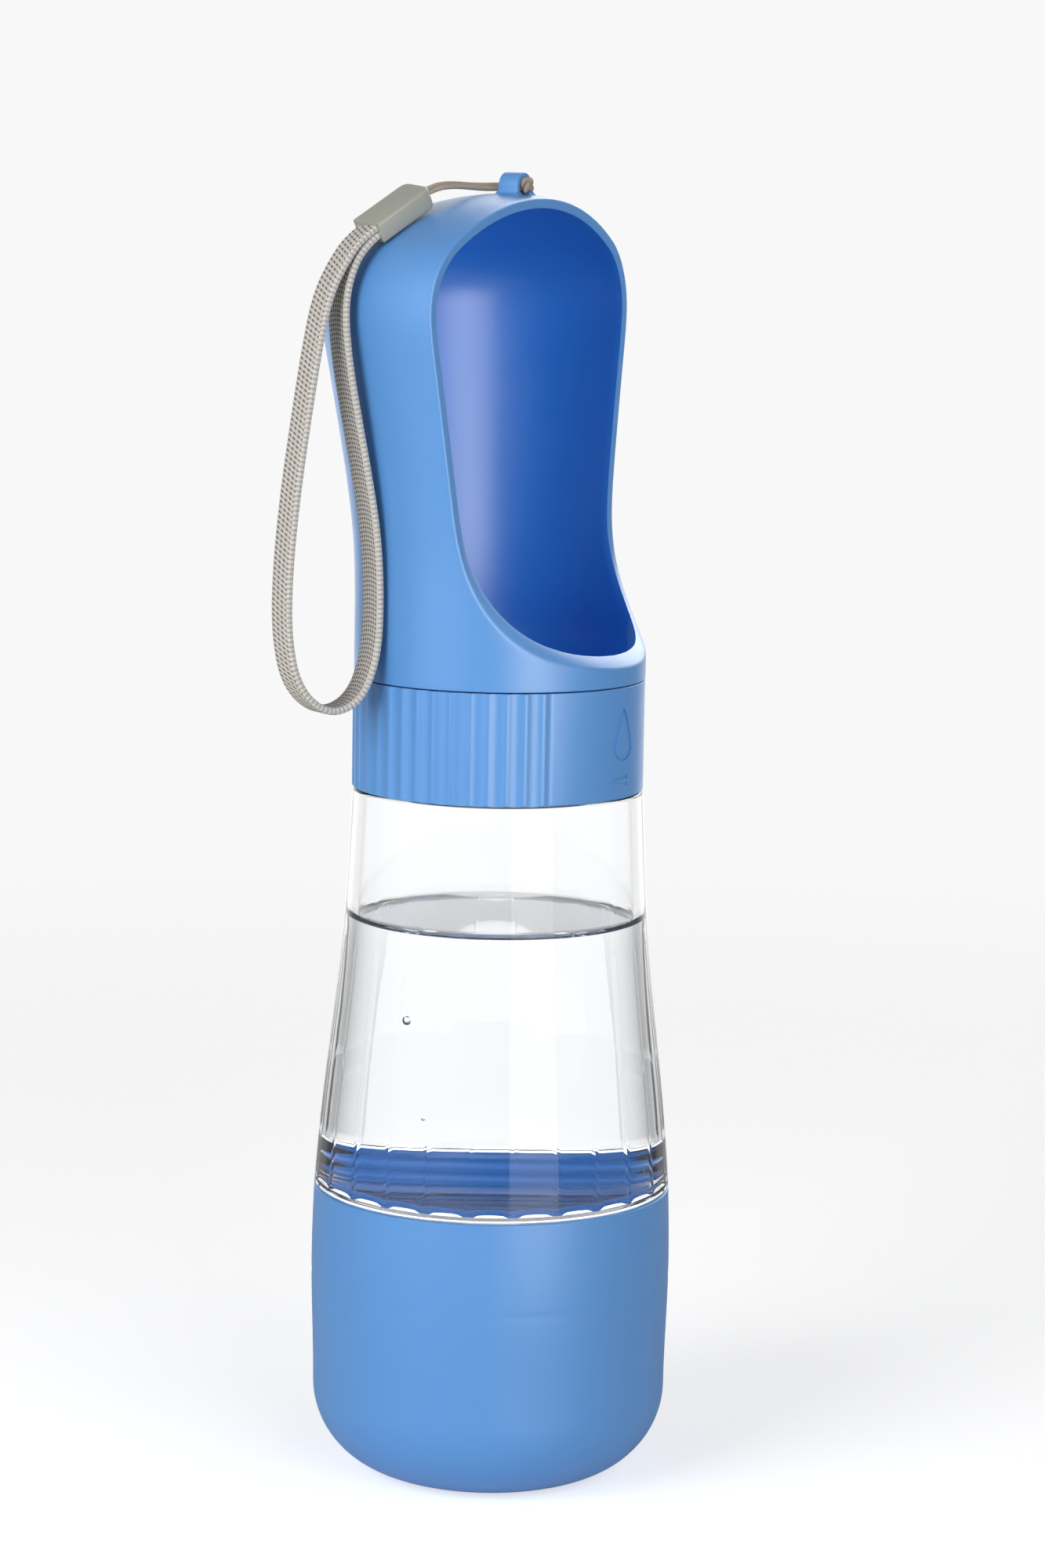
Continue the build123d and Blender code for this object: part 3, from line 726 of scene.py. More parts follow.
def trough_shell(sizes):
    """Outer and inner wall round one opening, joined by a rim with eased edges."""
    wall = sizes.wall / MM
    underside = trough_underside()
    foot_top = FLOOR_Z + FLOOR_FILLET
    steps = 10
    foot = [(TUBE_RADIUS, underside[-1][1] + (foot_top - underside[-1][1]) * step / steps) for step in range(steps + 1)]
    fillet = arc_points((TUBE_RADIUS - wall - FLOOR_FILLET, foot_top), FLOOR_FILLET, -90, 0, steps)
    outer = wall_section(0, foot)
    inner = wall_section(wall, fillet)
    shell = spun(underside[:-1] + outer, TROUGH_STEPS)
    outer_surface = BVHTree.FromBMesh(shell)
    lining = spun(inner, TROUGH_STEPS)
    inner_surface = BVHTree.FromBMesh(lining)
    lining.free()
    edge_surface, inner_edge_surface = (BVHTree.FromBMesh(front_cut(0, lip)) for lip in (0, LIP_RISE))
    bm = combine(shell, front_cut(RIM_STRIP))
    bmesh.ops.delete(bm, geom=[face for face in bm.faces if face.material_index == 1], context="FACES")
    open_edges = [edge for edge in bm.edges if edge.is_boundary]
    grown = bmesh.ops.extrude_edge_only(bm, edges=open_edges)["geom"]
    settle([item for item in grown if isinstance(item, bmesh.types.BMVert)], [edge_surface, outer_surface])
    rim_verts = {vert for edge in bm.edges if edge.is_boundary for vert in edge.verts}
    bmesh.ops.remove_doubles(bm, verts=list(rim_verts), dist=RIM_MERGE * MM)
    outer_rim = [edge for edge in bm.edges if edge.is_boundary]
    wall_faces = [face for face in bm.faces if face.calc_center_median().z / MM > underside[-1][1]]
    copy = bmesh.ops.duplicate(bm, geom=wall_faces)["geom"]
    inner_faces = [item for item in copy if isinstance(item, bmesh.types.BMFace)]
    inner_verts = list({vert for face in inner_faces for vert in face.verts})
    inner_open = [edge for edge in {edge for face in inner_faces for edge in face.edges} if edge.is_boundary]
    seam = underside[-1][1] + 0.01
    floor_ring = [edge for edge in inner_open if max(vert.co.z for vert in edge.verts) / MM < seam]
    inner_rim = [edge for edge in inner_open if edge not in floor_ring]
    move_inside(inner_verts, outer, inner)
    settle({vert for edge in inner_rim for vert in edge.verts}, [inner_edge_surface, inner_surface])
    bmesh.ops.reverse_faces(bm, faces=inner_faces)
    floor = bmesh.ops.extrude_edge_only(bm, edges=floor_ring)["geom"]
    centre = [item for item in floor if isinstance(item, bmesh.types.BMVert)]
    bmesh.ops.scale(bm, vec=(0, 0, 1), verts=centre)
    bmesh.ops.remove_doubles(bm, verts=centre, dist=MM / 1000)
    bmesh.ops.bridge_loops(bm, edges=outer_rim + inner_rim)
    for edges, rounding, segments in ((outer_rim, sizes.rim_round, 4), (inner_rim, sizes.rim_inner_round, 2)):
        bmesh.ops.bevel(
            bm, geom=[edge for edge in edges if edge.is_valid], offset=rounding, offset_type="OFFSET",
            segments=segments, profile=0.5, affect="EDGES", clamp_overlap=False, material=-1,
        )
    bmesh.ops.recalc_face_normals(bm, faces=bm.faces)
    return bm


def cord_lug():
    """Thick rounded eye on the crown, with a flared foot and an eased hole along Y."""
    half = LUG_WIDTH / 2
    flare = 0.7
    flare_z = CROWN_Z + 0.6
    foot_z = CROWN_Z - 1.2
    side = [(half + flare, foot_z), (half + flare, flare_z - flare)]
    side += arc_points((half + flare, flare_z), flare, 270, 180, 5)[1:]
    top = arc_points((0, LUG_CENTRE_Z), half, 0, 180, 24)
    outline = side + top + [(-x, z) for x, z in reversed(side)]
    bm = extruded(outline, "Y", LUG_THICK / 2)
    flat_edges = [edge for edge in bm.edges if abs(edge.verts[0].co.y - edge.verts[1].co.y) < 1e-7]
    bmesh.ops.bevel(
        bm, geom=flat_edges, offset=1.05 * MM, offset_type="OFFSET", segments=5, profile=0.5,
        affect="EDGES", clamp_overlap=True, material=-1,
    )
    for vert in bm.verts:
        down = min(1.0, max(0.0, (flare_z - vert.co.z / MM) / flare))
        vert.co.y *= 1 + 0.3 * (1 - math.sqrt(1 - down * down))
    reach = LUG_THICK / 2 + 1
    spool = [(0, -reach), (LUG_HOLE_RADIUS + 0.4, -reach)]
    for y in np.linspace(-LUG_THICK / 2 - 0.1, LUG_THICK / 2 + 0.1, 13):
        spool.append((LUG_HOLE_RADIUS + 0.2 * (2 * abs(y) / LUG_THICK) ** 6, y))
    spool += [(LUG_HOLE_RADIUS + 0.4, reach), (0, reach)]
    hole = spun(spool, 40)
    place = Matrix.Translation(Vector((0, 0, LUG_CENTRE_Z)) * MM) @ Matrix.Rotation(math.radians(90), 4, "X")
    bmesh.ops.transform(hole, matrix=place, verts=hole.verts)
    lug = combine(bm, hole)
    bmesh.ops.translate(lug, vec=(0, LUG_CENTRE_Y * MM, 0), verts=lug.verts)
    return lug


def build_trough(sizes, finish):
    """The flared, domed trough with its flowing opening, the lug and the floor's port."""
    bm = combine(trough_shell(sizes), cord_lug(), "UNION")
    bm = combine(bm, peg(0, PORT_OFFSET, PLATE_Z - 1, FLOOR_Z + 1, PORT_RADIUS))
    wall = sizes.wall / MM
    fillet = arc_points((TUBE_RADIUS - wall - FLOOR_FILLET, FLOOR_Z + FLOOR_FILLET), FLOOR_FILLET, -90, 0, 10)
    # The trough's inner faces are marked for the deeper blue painted shade.
    mark_painted_shade(bm, [(0, FLOOR_Z)] + wall_section(wall, fillet))
    return new_piece("trough_moulding", bm, "trough", finish, ["drinking_trough"])


# --- Strap --------------------------------------------------------------------
def spline_points(name, points, resolution):
    """A NURBS curve on the given points, and the points of its smooth line."""
    curve = bpy.data.curves.new(name, "CURVE")
    curve.dimensions = "3D"
    curve.resolution_u = resolution
    spline = curve.splines.new("NURBS")
    spline.points.add(len(points) - 1)
    for control, point in zip(spline.points, points):
        control.co = (*point, 1)
    spline.order_u = 3
    spline.use_endpoint_u = True
    holder = bpy.data.objects.new(name, curve)
    line = bpy.data.meshes.new_from_object(holder)
    path = [vert.co.copy() for vert in line.vertices]
    bpy.data.meshes.remove(line)
    bpy.data.objects.remove(holder)
    return curve, path


def sweep(ring, path, across_at):
    """A closed ring of (across, over) offsets drawn along a path, with UVs in millimetres."""
    bm = bmesh.new()
    places = []
    for index, point in enumerate(path):
        ahead = path[min(index + 1, len(path) - 1)] - path[max(index - 1, 0)]
        along = ahead.normalized()
        across = across_at(index)
        across = (across - along * across.dot(along)).normalized()
        place = Matrix((across, along.cross(across), along)).transposed().to_4x4()
        place.translation = point
        places.append(place)
    verts = [bm.verts.new(places[0] @ Vector((x * MM, y * MM, 0))) for x, y in ring]
    first = [bm.edges.new((verts[index - 1], verts[index])) for index in range(len(verts))]
    edges = first
    for before, place in zip(places, places[1:]):
        geom = bmesh.ops.extrude_edge_only(bm, edges=edges)["geom"]
        moved = [item for item in geom if isinstance(item, bmesh.types.BMVert)]
        edges = [item for item in geom if isinstance(item, bmesh.types.BMEdge) and item.is_boundary]
        edges = [edge for edge in edges if edge.verts[0] in moved and edge.verts[1] in moved]
        bmesh.ops.transform(bm, matrix=place @ before.inverted(), verts=moved)
    bmesh.ops.holes_fill(bm, edges=[edge for edge in bm.edges if edge.is_boundary], sides=len(ring))
    bmesh.ops.recalc_face_normals(bm, faces=bm.faces)
    return bm, places


def unwrap_strip(bm, path, places):
    """UVs of a strip: how far along it, and how far across it, in millimetres."""
    uv = bm.loops.layers.uv.new("UVMap")
    travelled = [0.0]
    for before, point in zip(path, path[1:]):
        travelled.append(travelled[-1] + (point - before).length / MM)
    inverse = [place.inverted() for place in places]
    lookup = bpy_kdtree(path)
    for vert in bm.verts:
        _, index, _ = lookup.find(vert.co)
        local = inverse[index] @ vert.co
        along = travelled[index] + local.z / MM
        for loop in vert.link_loops:
            loop[uv].uv = (along, local.x / MM + (BACK_SHIFT if local.y > 0 else 0))


def bpy_kdtree(points):
    """A lookup of the nearest of some points."""
    from mathutils.kdtree import KDTree

    tree = KDTree(len(points))
    for index, point in enumerate(points):
        tree.insert(point, index)
    tree.balance()
    return tree


def webbing_frame():
    """Outward and across directions of the webbing's loop, and its distance off the axis."""
    turn = math.radians(WEBBING_AZIMUTH)
    outward = Vector((math.cos(turn), math.sin(turn), 0))
    across = outward.cross(UP)
    return outward, across, Vector(SLEEVE_MOUTH).dot(across)


def build_webbing(strap, finish):
    """The flat wrist loop, woven, with both ends in the sleeve."""
    outward, across, offset = webbing_frame()
    route = [(outward * s + across * offset + UP * z) * MM for s, z in WEBBING_ROUTE]
    curve, path = spline_points("webbing_line", route, 14)
    bpy.data.curves.remove(curve)
    half = strap.webbing_width / MM / 2
    thick = strap.webbing_thick / MM / 2
    ring = eased([(half, -thick, 0.6), (half, thick, 0.6), (-half, thick, 0.6), (-half, -thick, 0.6)], 3)
    steps = np.linspace(-1, 1, 15)[1:-1]
    flat = half - 0.6
    crowned = []
    for index, point in enumerate(ring):
        crowned.append(point)
        if index == 7:
            crowned += [(-flat * t, thick) for t in steps]
        if index == 15:
            crowned += [(flat * t, -thick) for t in steps]
    bm, places = sweep(crowned, path, lambda index: across)
    unwrap_strip(bm, path, places)
    piece = new_piece("wrist_webbing", bm, "strap", finish, ["strap_webbing"], sharp=50)
    return piece


def sleeve_seat():
    """Placement of the sleeve: X runs from its upper end to its mouth, Z points off the crown."""
    top = Vector(SLEEVE_TOP) * MM
    along = Vector(SLEEVE_MOUTH) * MM - top
    level = along.cross(UP).normalized()
    across = Matrix.Rotation(math.radians(SLEEVE_ROLL), 3, along) @ level
    over = across.cross(along).normalized()
    x_axis = along.normalized()
    y_axis = over.cross(x_axis)
    place = Matrix((x_axis, y_axis, over)).transposed().to_4x4()
    place.translation = top
    return place, along.length


def build_sleeve(strap, finish):
    """Moulded sleeve with a rounded upper end and a thin-lipped mouth for the webbing."""
    place, run = sleeve_seat()
    width, thick, wall = strap.sleeve_width, strap.sleeve_thick, strap.sleeve_wall
    bm = bmesh.new()
    bmesh.ops.create_cube(bm, size=1, matrix=Matrix.Translation((0.5, 0, 0)))
    bmesh.ops.scale(bm, vec=(run, width, thick), verts=bm.verts)
    corners = [e for e in bm.edges if all(v.co.x < 1e-6 for v in e.verts) and abs(e.verts[0].co.y - e.verts[1].co.y) < 1e-9]
    bmesh.ops.bevel(bm, geom=corners, offset=1.8 * MM, segments=8, profile=0.5, affect="EDGES", material=-1)
    mouth = max(bm.faces, key=lambda face: face.calc_center_median().x)
    rounded = [e for e in bm.edges if mouth not in e.link_faces and abs(e.calc_face_angle(0)) > 1.2]
    bmesh.ops.bevel(bm, geom=rounded, offset=0.6 * MM, segments=4, profile=0.5, affect="EDGES", material=-1)
    mouth = max(bm.faces, key=lambda face: face.calc_center_median().x)
    bmesh.ops.inset_region(bm, faces=[mouth], thickness=wall, use_even_offset=True)
    sunk = bmesh.ops.extrude_face_region(bm, geom=[mouth])["geom"]
    sunk_verts = [item for item in sunk if isinstance(item, bmesh.types.BMVert)]
    bmesh.ops.translate(bm, vec=(-3.2 * MM, 0, 0), verts=sunk_verts)
    rims = [e for e in bm.edges if len(e.link_faces) == 2 and all(v.co.x > run - 1e-6 for v in e.verts)]
    bmesh.ops.bevel(bm, geom=rims, offset=0.14 * MM, segments=2, profile=0.5, affect="EDGES", material=-1)
    bmesh.ops.transform(bm, matrix=place, verts=bm.verts)
    bmesh.ops.recalc_face_normals(bm, faces=bm.faces)
    return new_piece("strap_sleeve_moulding", bm, "strap", finish, ["strap_sleeve"])


def build_cord(strap, finish):
    """The doubled cord through the lug."""
    route = [Vector(point) * MM for point in CORD_ROUTE]
    curve, _ = spline_points("strap_cord_line", route, 12)
    curve.bevel_depth = strap.cord / 2
    curve.bevel_resolution = 6
    curve.use_fill_caps = True
    curve.materials.append(finish)
    piece = bpy.data.objects.new("doubled_cord", curve)
    bpy.context.scene.collection.objects.link(piece)
    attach(piece, "strap")
    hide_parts("strap_cord")
    return piece


def build_knot(sizes, strap, finish):
    """Overhand stopper knot: the cord's own thickness wound into a tight trefoil."""
    count = 90
    size = (sizes.ball_knot / MM - strap.cord / MM) / 2
    path = []
    for step in range(count + 1):
        turn = math.tau * step / count
        reach = (2 + math.cos(3 * turn)) / 3 * size
        flat = Vector((math.cos(2 * turn) * reach, math.sin(3 * turn) * size * 0.62, math.sin(2 * turn) * reach * 1.2))
        path.append((Vector(KNOT_CENTRE) + Vector((-0.15, -0.1, 0.3)) + flat) * MM)
    radius = strap.cord / MM / 2
    ring = arc_points((0, 0), radius, 0, 360 * 11 / 12, 11)
    bm, places = sweep(ring, path, lambda index: path[index] - Vector(KNOT_CENTRE) * MM)
    unwrap_strip(bm, path, places)
    return new_piece("stopper_knot", bm, "strap", finish, ["strap_knot"])


# --- Finishes -----------------------------------------------------------------
def node(tree, kind, place, **values):
    """A shader node with some of its settings and inputs."""
    made = tree.nodes.new(kind)
    made.location = place
    for key, value in values.items():
        name = key.replace("_", " ")
        if hasattr(made, key):
            setattr(made, key, value)
        else:
            made.inputs[name].default_value = value
    return made


def plug(tree, source, output, target, entry):
    tree.links.new(source.outputs[output], target.inputs[entry])


def math_node(tree, operation, first, second, place=(0, 0)):
    """A Math node whose two inputs are numbers or outputs."""
    made = tree.nodes.new("ShaderNodeMath")
    made.operation = operation
    made.location = place
    for entry, value in zip(made.inputs, (first, second)):
        if isinstance(value, bpy.types.NodeSocket):
            tree.links.new(value, entry)
        else:
            entry.default_value = value
    return made.outputs[0]


def choose(tree, switch, first, second):
    """The second number where the switch is 1, else the first."""
    made = node(tree, "ShaderNodeMix", (100, 0), data_type="FLOAT")
    tree.links.new(switch, made.inputs[0])
    for entry, value in ((made.inputs[2], first), (made.inputs[3], second)):
        if isinstance(value, bpy.types.NodeSocket):
            tree.links.new(value, entry)
        else:
            entry.default_value = value
    return made.outputs[0]


def moulded_group():
    """Moulded surface: cloudy tone, uneven gloss and a faint texture."""
    group = bpy.data.node_groups.new("moulded_surface", "ShaderNodeTree")
    sockets = group.interface
    for name, kind in (("Colour", "NodeSocketColor"), ("Roughness", "NodeSocketFloat"), ("Tone", "NodeSocketFloat"),
                       ("Texture", "NodeSocketFloat")):
        sockets.new_socket(name, in_out="INPUT", socket_type=kind)
    for name, kind in (("Colour", "NodeSocketColor"), ("Roughness", "NodeSocketFloat"), ("Normal", "NodeSocketVector")):
        sockets.new_socket(name, in_out="OUTPUT", socket_type=kind)
    entry = node(group, "NodeGroupInput", (-900, 0))
    leave = node(group, "NodeGroupOutput", (500, 0))
    place = node(group, "ShaderNodeTexCoord", (-1100, -200))
    cloud = node(group, "ShaderNodeTexNoise", (-700, 150), Scale=38.0, Detail=3.0, Roughness=0.5)
    gloss = node(group, "ShaderNodeTexNoise", (-700, -100), Scale=160.0, Detail=5.0, Roughness=0.6)
    grain = node(group, "ShaderNodeTexNoise", (-700, -350), Scale=2600.0, Detail=2.0, Roughness=0.5)
    for texture in (cloud, gloss, grain):
        plug(group, place, "Object", texture, "Vector")
    tone = math_node(group, "MULTIPLY", math_node(group, "SUBTRACT", cloud.outputs["Fac"], 0.5), entry.outputs["Tone"])
    shade = node(group, "ShaderNodeHueSaturation", (100, 150))
    group.links.new(math_node(group, "ADD", tone, 1.0), shade.inputs["Value"])
    plug(group, entry, "Colour", shade, "Color")
    plug(group, shade, "Color", leave, "Colour")
    uneven = math_node(group, "MULTIPLY", math_node(group, "SUBTRACT", gloss.outputs["Fac"], 0.5), 0.16)
    group.links.new(math_node(group, "ADD", uneven, entry.outputs["Roughness"]), leave.inputs["Roughness"])
    bump = node(group, "ShaderNodeBump", (200, -350), Distance=0.00002)
    plug(group, grain, "Fac", bump, "Height")
    plug(group, entry, "Texture", bump, "Strength")
    plug(group, bump, "Normal", leave, "Normal")
    return group


def new_material(name):
    """An empty material with its output, its shader and its node tree."""
    material = bpy.data.materials.new(name)
    material.use_nodes = True
    tree = material.node_tree
    tree.nodes.clear()
    output = node(tree, "ShaderNodeOutputMaterial", (600, 0))
    shader = node(tree, "ShaderNodeBsdfPrincipled", (200, 0))
    plug(tree, shader, "BSDF", output, "Surface")
    return material, tree, shader, output


def moulded_material(name, group, colour_value, roughness, tone, texture, inside=None, cup_bore_shade=None):
    """Opaque moulded plastic or rubber, with a painted shade colour where a mesh is marked as inside: a deeper blue on
    inner faces marked 1, a darker blue on the cup's bore marked 2.
    """
    material, tree, shader, _ = new_material(name)
    surface = node(tree, "ShaderNodeGroup", (-200, 0))
    surface.node_tree = group
    surface.inputs["Colour"].default_value = colour_value
    if inside is not None:
        # Painted shade: the inside mark picks the darker blues of the hollows and of the cup's bore.
        mark = node(tree, "ShaderNodeAttribute", (-700, 200), attribute_name="inside")
        mix = node(tree, "ShaderNodeMix", (-450, 100), data_type="RGBA")
        plug(tree, mark, "Fac", mix, 0)
        mix.inputs[6].default_value = colour_value
        mix.inputs[7].default_value = inside
        cup = math_node(tree, "SUBTRACT", mark.outputs["Fac"], 1.0)
        bore_shade_mix = node(tree, "ShaderNodeMix", (-300, 100), data_type="RGBA")
        tree.links.new(cup, bore_shade_mix.inputs[0])
        tree.links.new(mix.outputs[2], bore_shade_mix.inputs[6])
        bore_shade_mix.inputs[7].default_value = cup_bore_shade
        tree.links.new(bore_shade_mix.outputs[2], surface.inputs["Colour"])
        tree.links.new(choose(tree, mark.outputs["Fac"], roughness, roughness - 0.05), surface.inputs["Roughness"])
        tree.links.new(choose(tree, cup, choose(tree, mark.outputs["Fac"], 0.75, 0.9), 0.1), shader.inputs["Specular IOR Level"])
    surface.inputs["Roughness"].default_value = roughness
    surface.inputs["Tone"].default_value = tone
    surface.inputs["Texture"].default_value = texture
    plug(tree, surface, "Colour", shader, "Base Color")
    plug(tree, surface, "Roughness", shader, "Roughness")
    plug(tree, surface, "Normal", shader, "Normal")
    shader.inputs["IOR"].default_value = 1.46
    material.diffuse_color = colour_value
    return material


def see_through_material(name, tint, ior, ripple_scale, ripple_height):
    """Clear plastic or water that lets the lamps' light straight through."""
    material, tree, shader, output = new_material(name)
    shader.inputs["Base Color"].default_value = tint
    shader.inputs["Roughness"].default_value = 0.0
    shader.inputs["IOR"].default_value = ior
    shader.inputs["Transmission Weight"].default_value = 1.0
    shader.inputs["Specular Tint"].default_value = (0.75, 0.75, 0.75, 1)
    place = node(tree, "ShaderNodeTexCoord", (-700, -300))
    ripple = node(tree, "ShaderNodeTexNoise", (-500, -300), Scale=ripple_scale, Detail=2.0)
    bump = node(tree, "ShaderNodeBump", (-200, -300), Strength=1.0, Distance=ripple_height)
    plug(tree, place, "Object", ripple, "Vector")
    plug(tree, ripple, "Fac", bump, "Height")
    plug(tree, bump, "Normal", shader, "Normal")
    path = node(tree, "ShaderNodeLightPath", (200, 400))
    clear = node(tree, "ShaderNodeBsdfTransparent", (200, -400))
    clear.inputs["Color"].default_value = (0.93, 0.94, 0.95, 1)
    mix = node(tree, "ShaderNodeMixShader", (450, 100))
    plug(tree, path, "Is Shadow Ray", mix, 0)
    plug(tree, shader, "BSDF", mix, 1)
    plug(tree, clear, "BSDF", mix, 2)
    tree.links.new(mix.outputs[0], output.inputs["Surface"])
    return material


def woven_material(finish, half):
    """Woven webbing, from UVs in millimetres: slanting dashes on one face, rows of dots on the other."""
    material, tree, shader, _ = new_material("woven_webbing")
    place = node(tree, "ShaderNodeUVMap", (-1400, 0))
    split = node(tree, "ShaderNodeSeparateXYZ", (-1200, 0))
    plug(tree, place, "UV", split, "Vector")
    along = split.outputs["X"]
    back = math_node(tree, "GREATER_THAN", split.outputs["Y"], BACK_SHIFT / 2)
    across = math_node(tree, "SUBTRACT", split.outputs["Y"], math_node(tree, "MULTIPLY", back, BACK_SHIFT))

    def wave(distance, pitch):
        return math_node(tree, "SINE", math_node(tree, "MULTIPLY", distance, math.tau / pitch), 0)

    def step(value, low, high):
        made = node(tree, "ShaderNodeMapRange", (-300, 0))
        made.inputs["From Min"].default_value = low
        made.inputs["From Max"].default_value = high
        tree.links.new(value, made.inputs["Value"])
        return made.outputs["Result"]

    slant = math_node(tree, "ADD", along, math_node(tree, "MULTIPLY", across, 0.35))
    strands = math_node(tree, "MULTIPLY", wave(across, 1.6), 0.5)
    dashes = step(math_node(tree, "ADD", wave(slant, 0.95), strands), 0.15, 1.2)
    bow = math_node(tree, "MULTIPLY", math_node(tree, "MULTIPLY", across, across), 0.06)
    rows = wave(math_node(tree, "ADD", along, bow), 0.85)
    dots = step(math_node(tree, "ADD", rows, wave(across, 0.8)), 0.3, 1.0)
    dark = choose(tree, back, dashes, dots)
    beads = step(wave(along, 0.9), -0.1, 0.9)
    side = step(math_node(tree, "ABSOLUTE", across, 0), half - 0.45, half - 0.25)
    dark = choose(tree, side, dark, math_node(tree, "MULTIPLY", beads, 0.5))
    mix = node(tree, "ShaderNodeMix", (-50, 100), data_type="RGBA")
    mix.inputs[6].default_value = finish.webbing
    mix.inputs[7].default_value = finish.webbing_dark
    tree.links.new(dark, mix.inputs[0])
    tree.links.new(mix.outputs[2], shader.inputs["Base Color"])
    shader.inputs["Roughness"].default_value = 0.85
    bump = node(tree, "ShaderNodeBump", (-50, -250), Strength=0.8, Distance=0.00015)
    bump.invert = True
    tree.links.new(dark, bump.inputs["Height"])
    plug(tree, bump, "Normal", shader, "Normal")
    return material


def braided_material(finish):
    """Braided cord: crossing strands from the UVs round it."""
    material, tree, shader, _ = new_material("braided_cord")
    place = node(tree, "ShaderNodeUVMap", (-1200, 0))
    mapping = node(tree, "ShaderNodeMapping", (-1000, 0))
    mapping.inputs["Scale"].default_value = (52.0, 6.0, 1.0)
    plug(tree, place, "UV", mapping, "Vector")
    checks = node(tree, "ShaderNodeTexWave", (-700, 0), Scale=1.2, Distortion=1.5)
    plug(tree, mapping, "Vector", checks, "Vector")
    ramp = node(tree, "ShaderNodeMapRange", (-400, 0))
    ramp.inputs["To Min"].default_value = 0.55
    ramp.inputs["To Max"].default_value = 1.15
    plug(tree, checks, "Fac", ramp, "Value")
    shade = node(tree, "ShaderNodeHueSaturation", (-150, 0))
    shade.inputs["Color"].default_value = finish.cord
    plug(tree, ramp, "Result", shade, "Value")
    plug(tree, shade, "Color", shader, "Base Color")
    shader.inputs["Roughness"].default_value = 0.8
    bump = node(tree, "ShaderNodeBump", (-150, -250), Strength=0.6, Distance=0.0001)
    plug(tree, checks, "Fac", bump, "Height")
    plug(tree, bump, "Normal", shader, "Normal")
    return material


MATERIALS = {}


def make_finishes(finish, half):
    """Every finish, by the name of what it is for."""
    group = moulded_group()
    # The blue plastic carries the painted shade colours of the hollows and of the cup's bore.
    MATERIALS["plastic"] = moulded_material(
        "blue_moulded_plastic", group, finish.plastic, finish.plastic_rough, 0.06, 0.35,
        finish.plastic_hollow_shade, finish.cup_bore_shade)
    MATERIALS["rubber"] = moulded_material("sealing_rubber", group, finish.rubber, 0.55, 0.08, 0.5)
    MATERIALS["sleeve"] = moulded_material("sleeve_plastic", group, finish.sleeve, 0.5, 0.1, 1.0)
    MATERIALS["clear"] = see_through_material("clear_plastic_wall", finish.clear, 1.37, 60.0, 0.00002)
    MATERIALS["water"] = see_through_material("still_water", finish.water, 1.333, 30.0, 0.000005)
    MATERIALS["webbing"] = woven_material(finish, half)
    MATERIALS["cord"] = braided_material(finish)


# --- Stage --------------------------------------------------------------------
CAMERA_PLACE = Vector((-0.646175, -0.419631, 0.250520))
CAMERA_HEADING = 57.352    # degrees from +Y towards +X
CAMERA_DIP = 8.503
CAMERA_ROLL = 1.005
CAMERA_LENS = 92.721
VIEW_TARGET = Vector((0, 0, 0.14))


def build_camera():
    """Camera at the reference view."""
    data = bpy.data.cameras.new("camera")
    data.lens = CAMERA_LENS
    data.sensor_width = 36
    data.clip_start = 0.01
    camera = bpy.data.objects.new("camera", data)
    turn = Matrix.Rotation(math.radians(-CAMERA_HEADING), 4, "Z")
    turn = turn @ Matrix.Rotation(math.radians(90 - CAMERA_DIP), 4, "X")
    turn = turn @ Matrix.Rotation(math.radians(CAMERA_ROLL), 4, "Z")
    camera.matrix_world = Matrix.Translation(CAMERA_PLACE) @ turn
    bpy.context.scene.collection.objects.link(camera)
    bpy.context.scene.camera = camera


def way_to(azimuth, elevation):
    """Direction from the bottle; azimuth is degrees to the camera's right."""
    turn = math.atan2(CAMERA_PLACE.y, CAMERA_PLACE.x) + math.radians(azimuth)
    rise = math.radians(elevation)
    return Vector((math.cos(turn) * math.cos(rise), math.sin(turn) * math.cos(rise), math.sin(rise)))


def softbox(name, azimuth, elevation, distance, width, height, radiance, glossy=True, diffuse=True):
    """A rectangular lamp that faces the bottle."""
    lamp = bpy.data.lights.new(name, "AREA")
    lamp.shape = "RECTANGLE"
    lamp.size = width
    lamp.size_y = height
    lamp.energy = radiance * math.pi * width * height
    holder = bpy.data.objects.new(name, lamp)
    way = way_to(azimuth, elevation)
    holder.rotation_euler = way.to_track_quat("Z", "Y").to_euler()
    holder.location = VIEW_TARGET + way * distance
    holder.visible_camera = False
    holder.visible_transmission = False
    holder.visible_glossy = glossy
    holder.visible_diffuse = diffuse
    bpy.context.scene.collection.objects.link(holder)
    return holder


def lobe(tree, direction, start, end, strength, rest=0.0):
    """Brightness that rises smoothly towards a direction of the surround."""
    place = node(tree, "ShaderNodeTexCoord", (-900, 0))
    aim = node(tree, "ShaderNodeVectorMath", (-700, 0), operation="DOT_PRODUCT")
    aim.inputs[1].default_value = direction
    plug(tree, place, "Generated", aim, 0)
    rise = node(tree, "ShaderNodeMapRange", (-500, 0), interpolation_type="SMOOTHSTEP")
    rise.inputs["From Min"].default_value = start
    rise.inputs["From Max"].default_value = end
    rise.inputs["To Min"].default_value = rest
    rise.inputs["To Max"].default_value = strength
    tree.links.new(aim.outputs["Value"], rise.inputs["Value"])
    return rise.outputs["Result"]


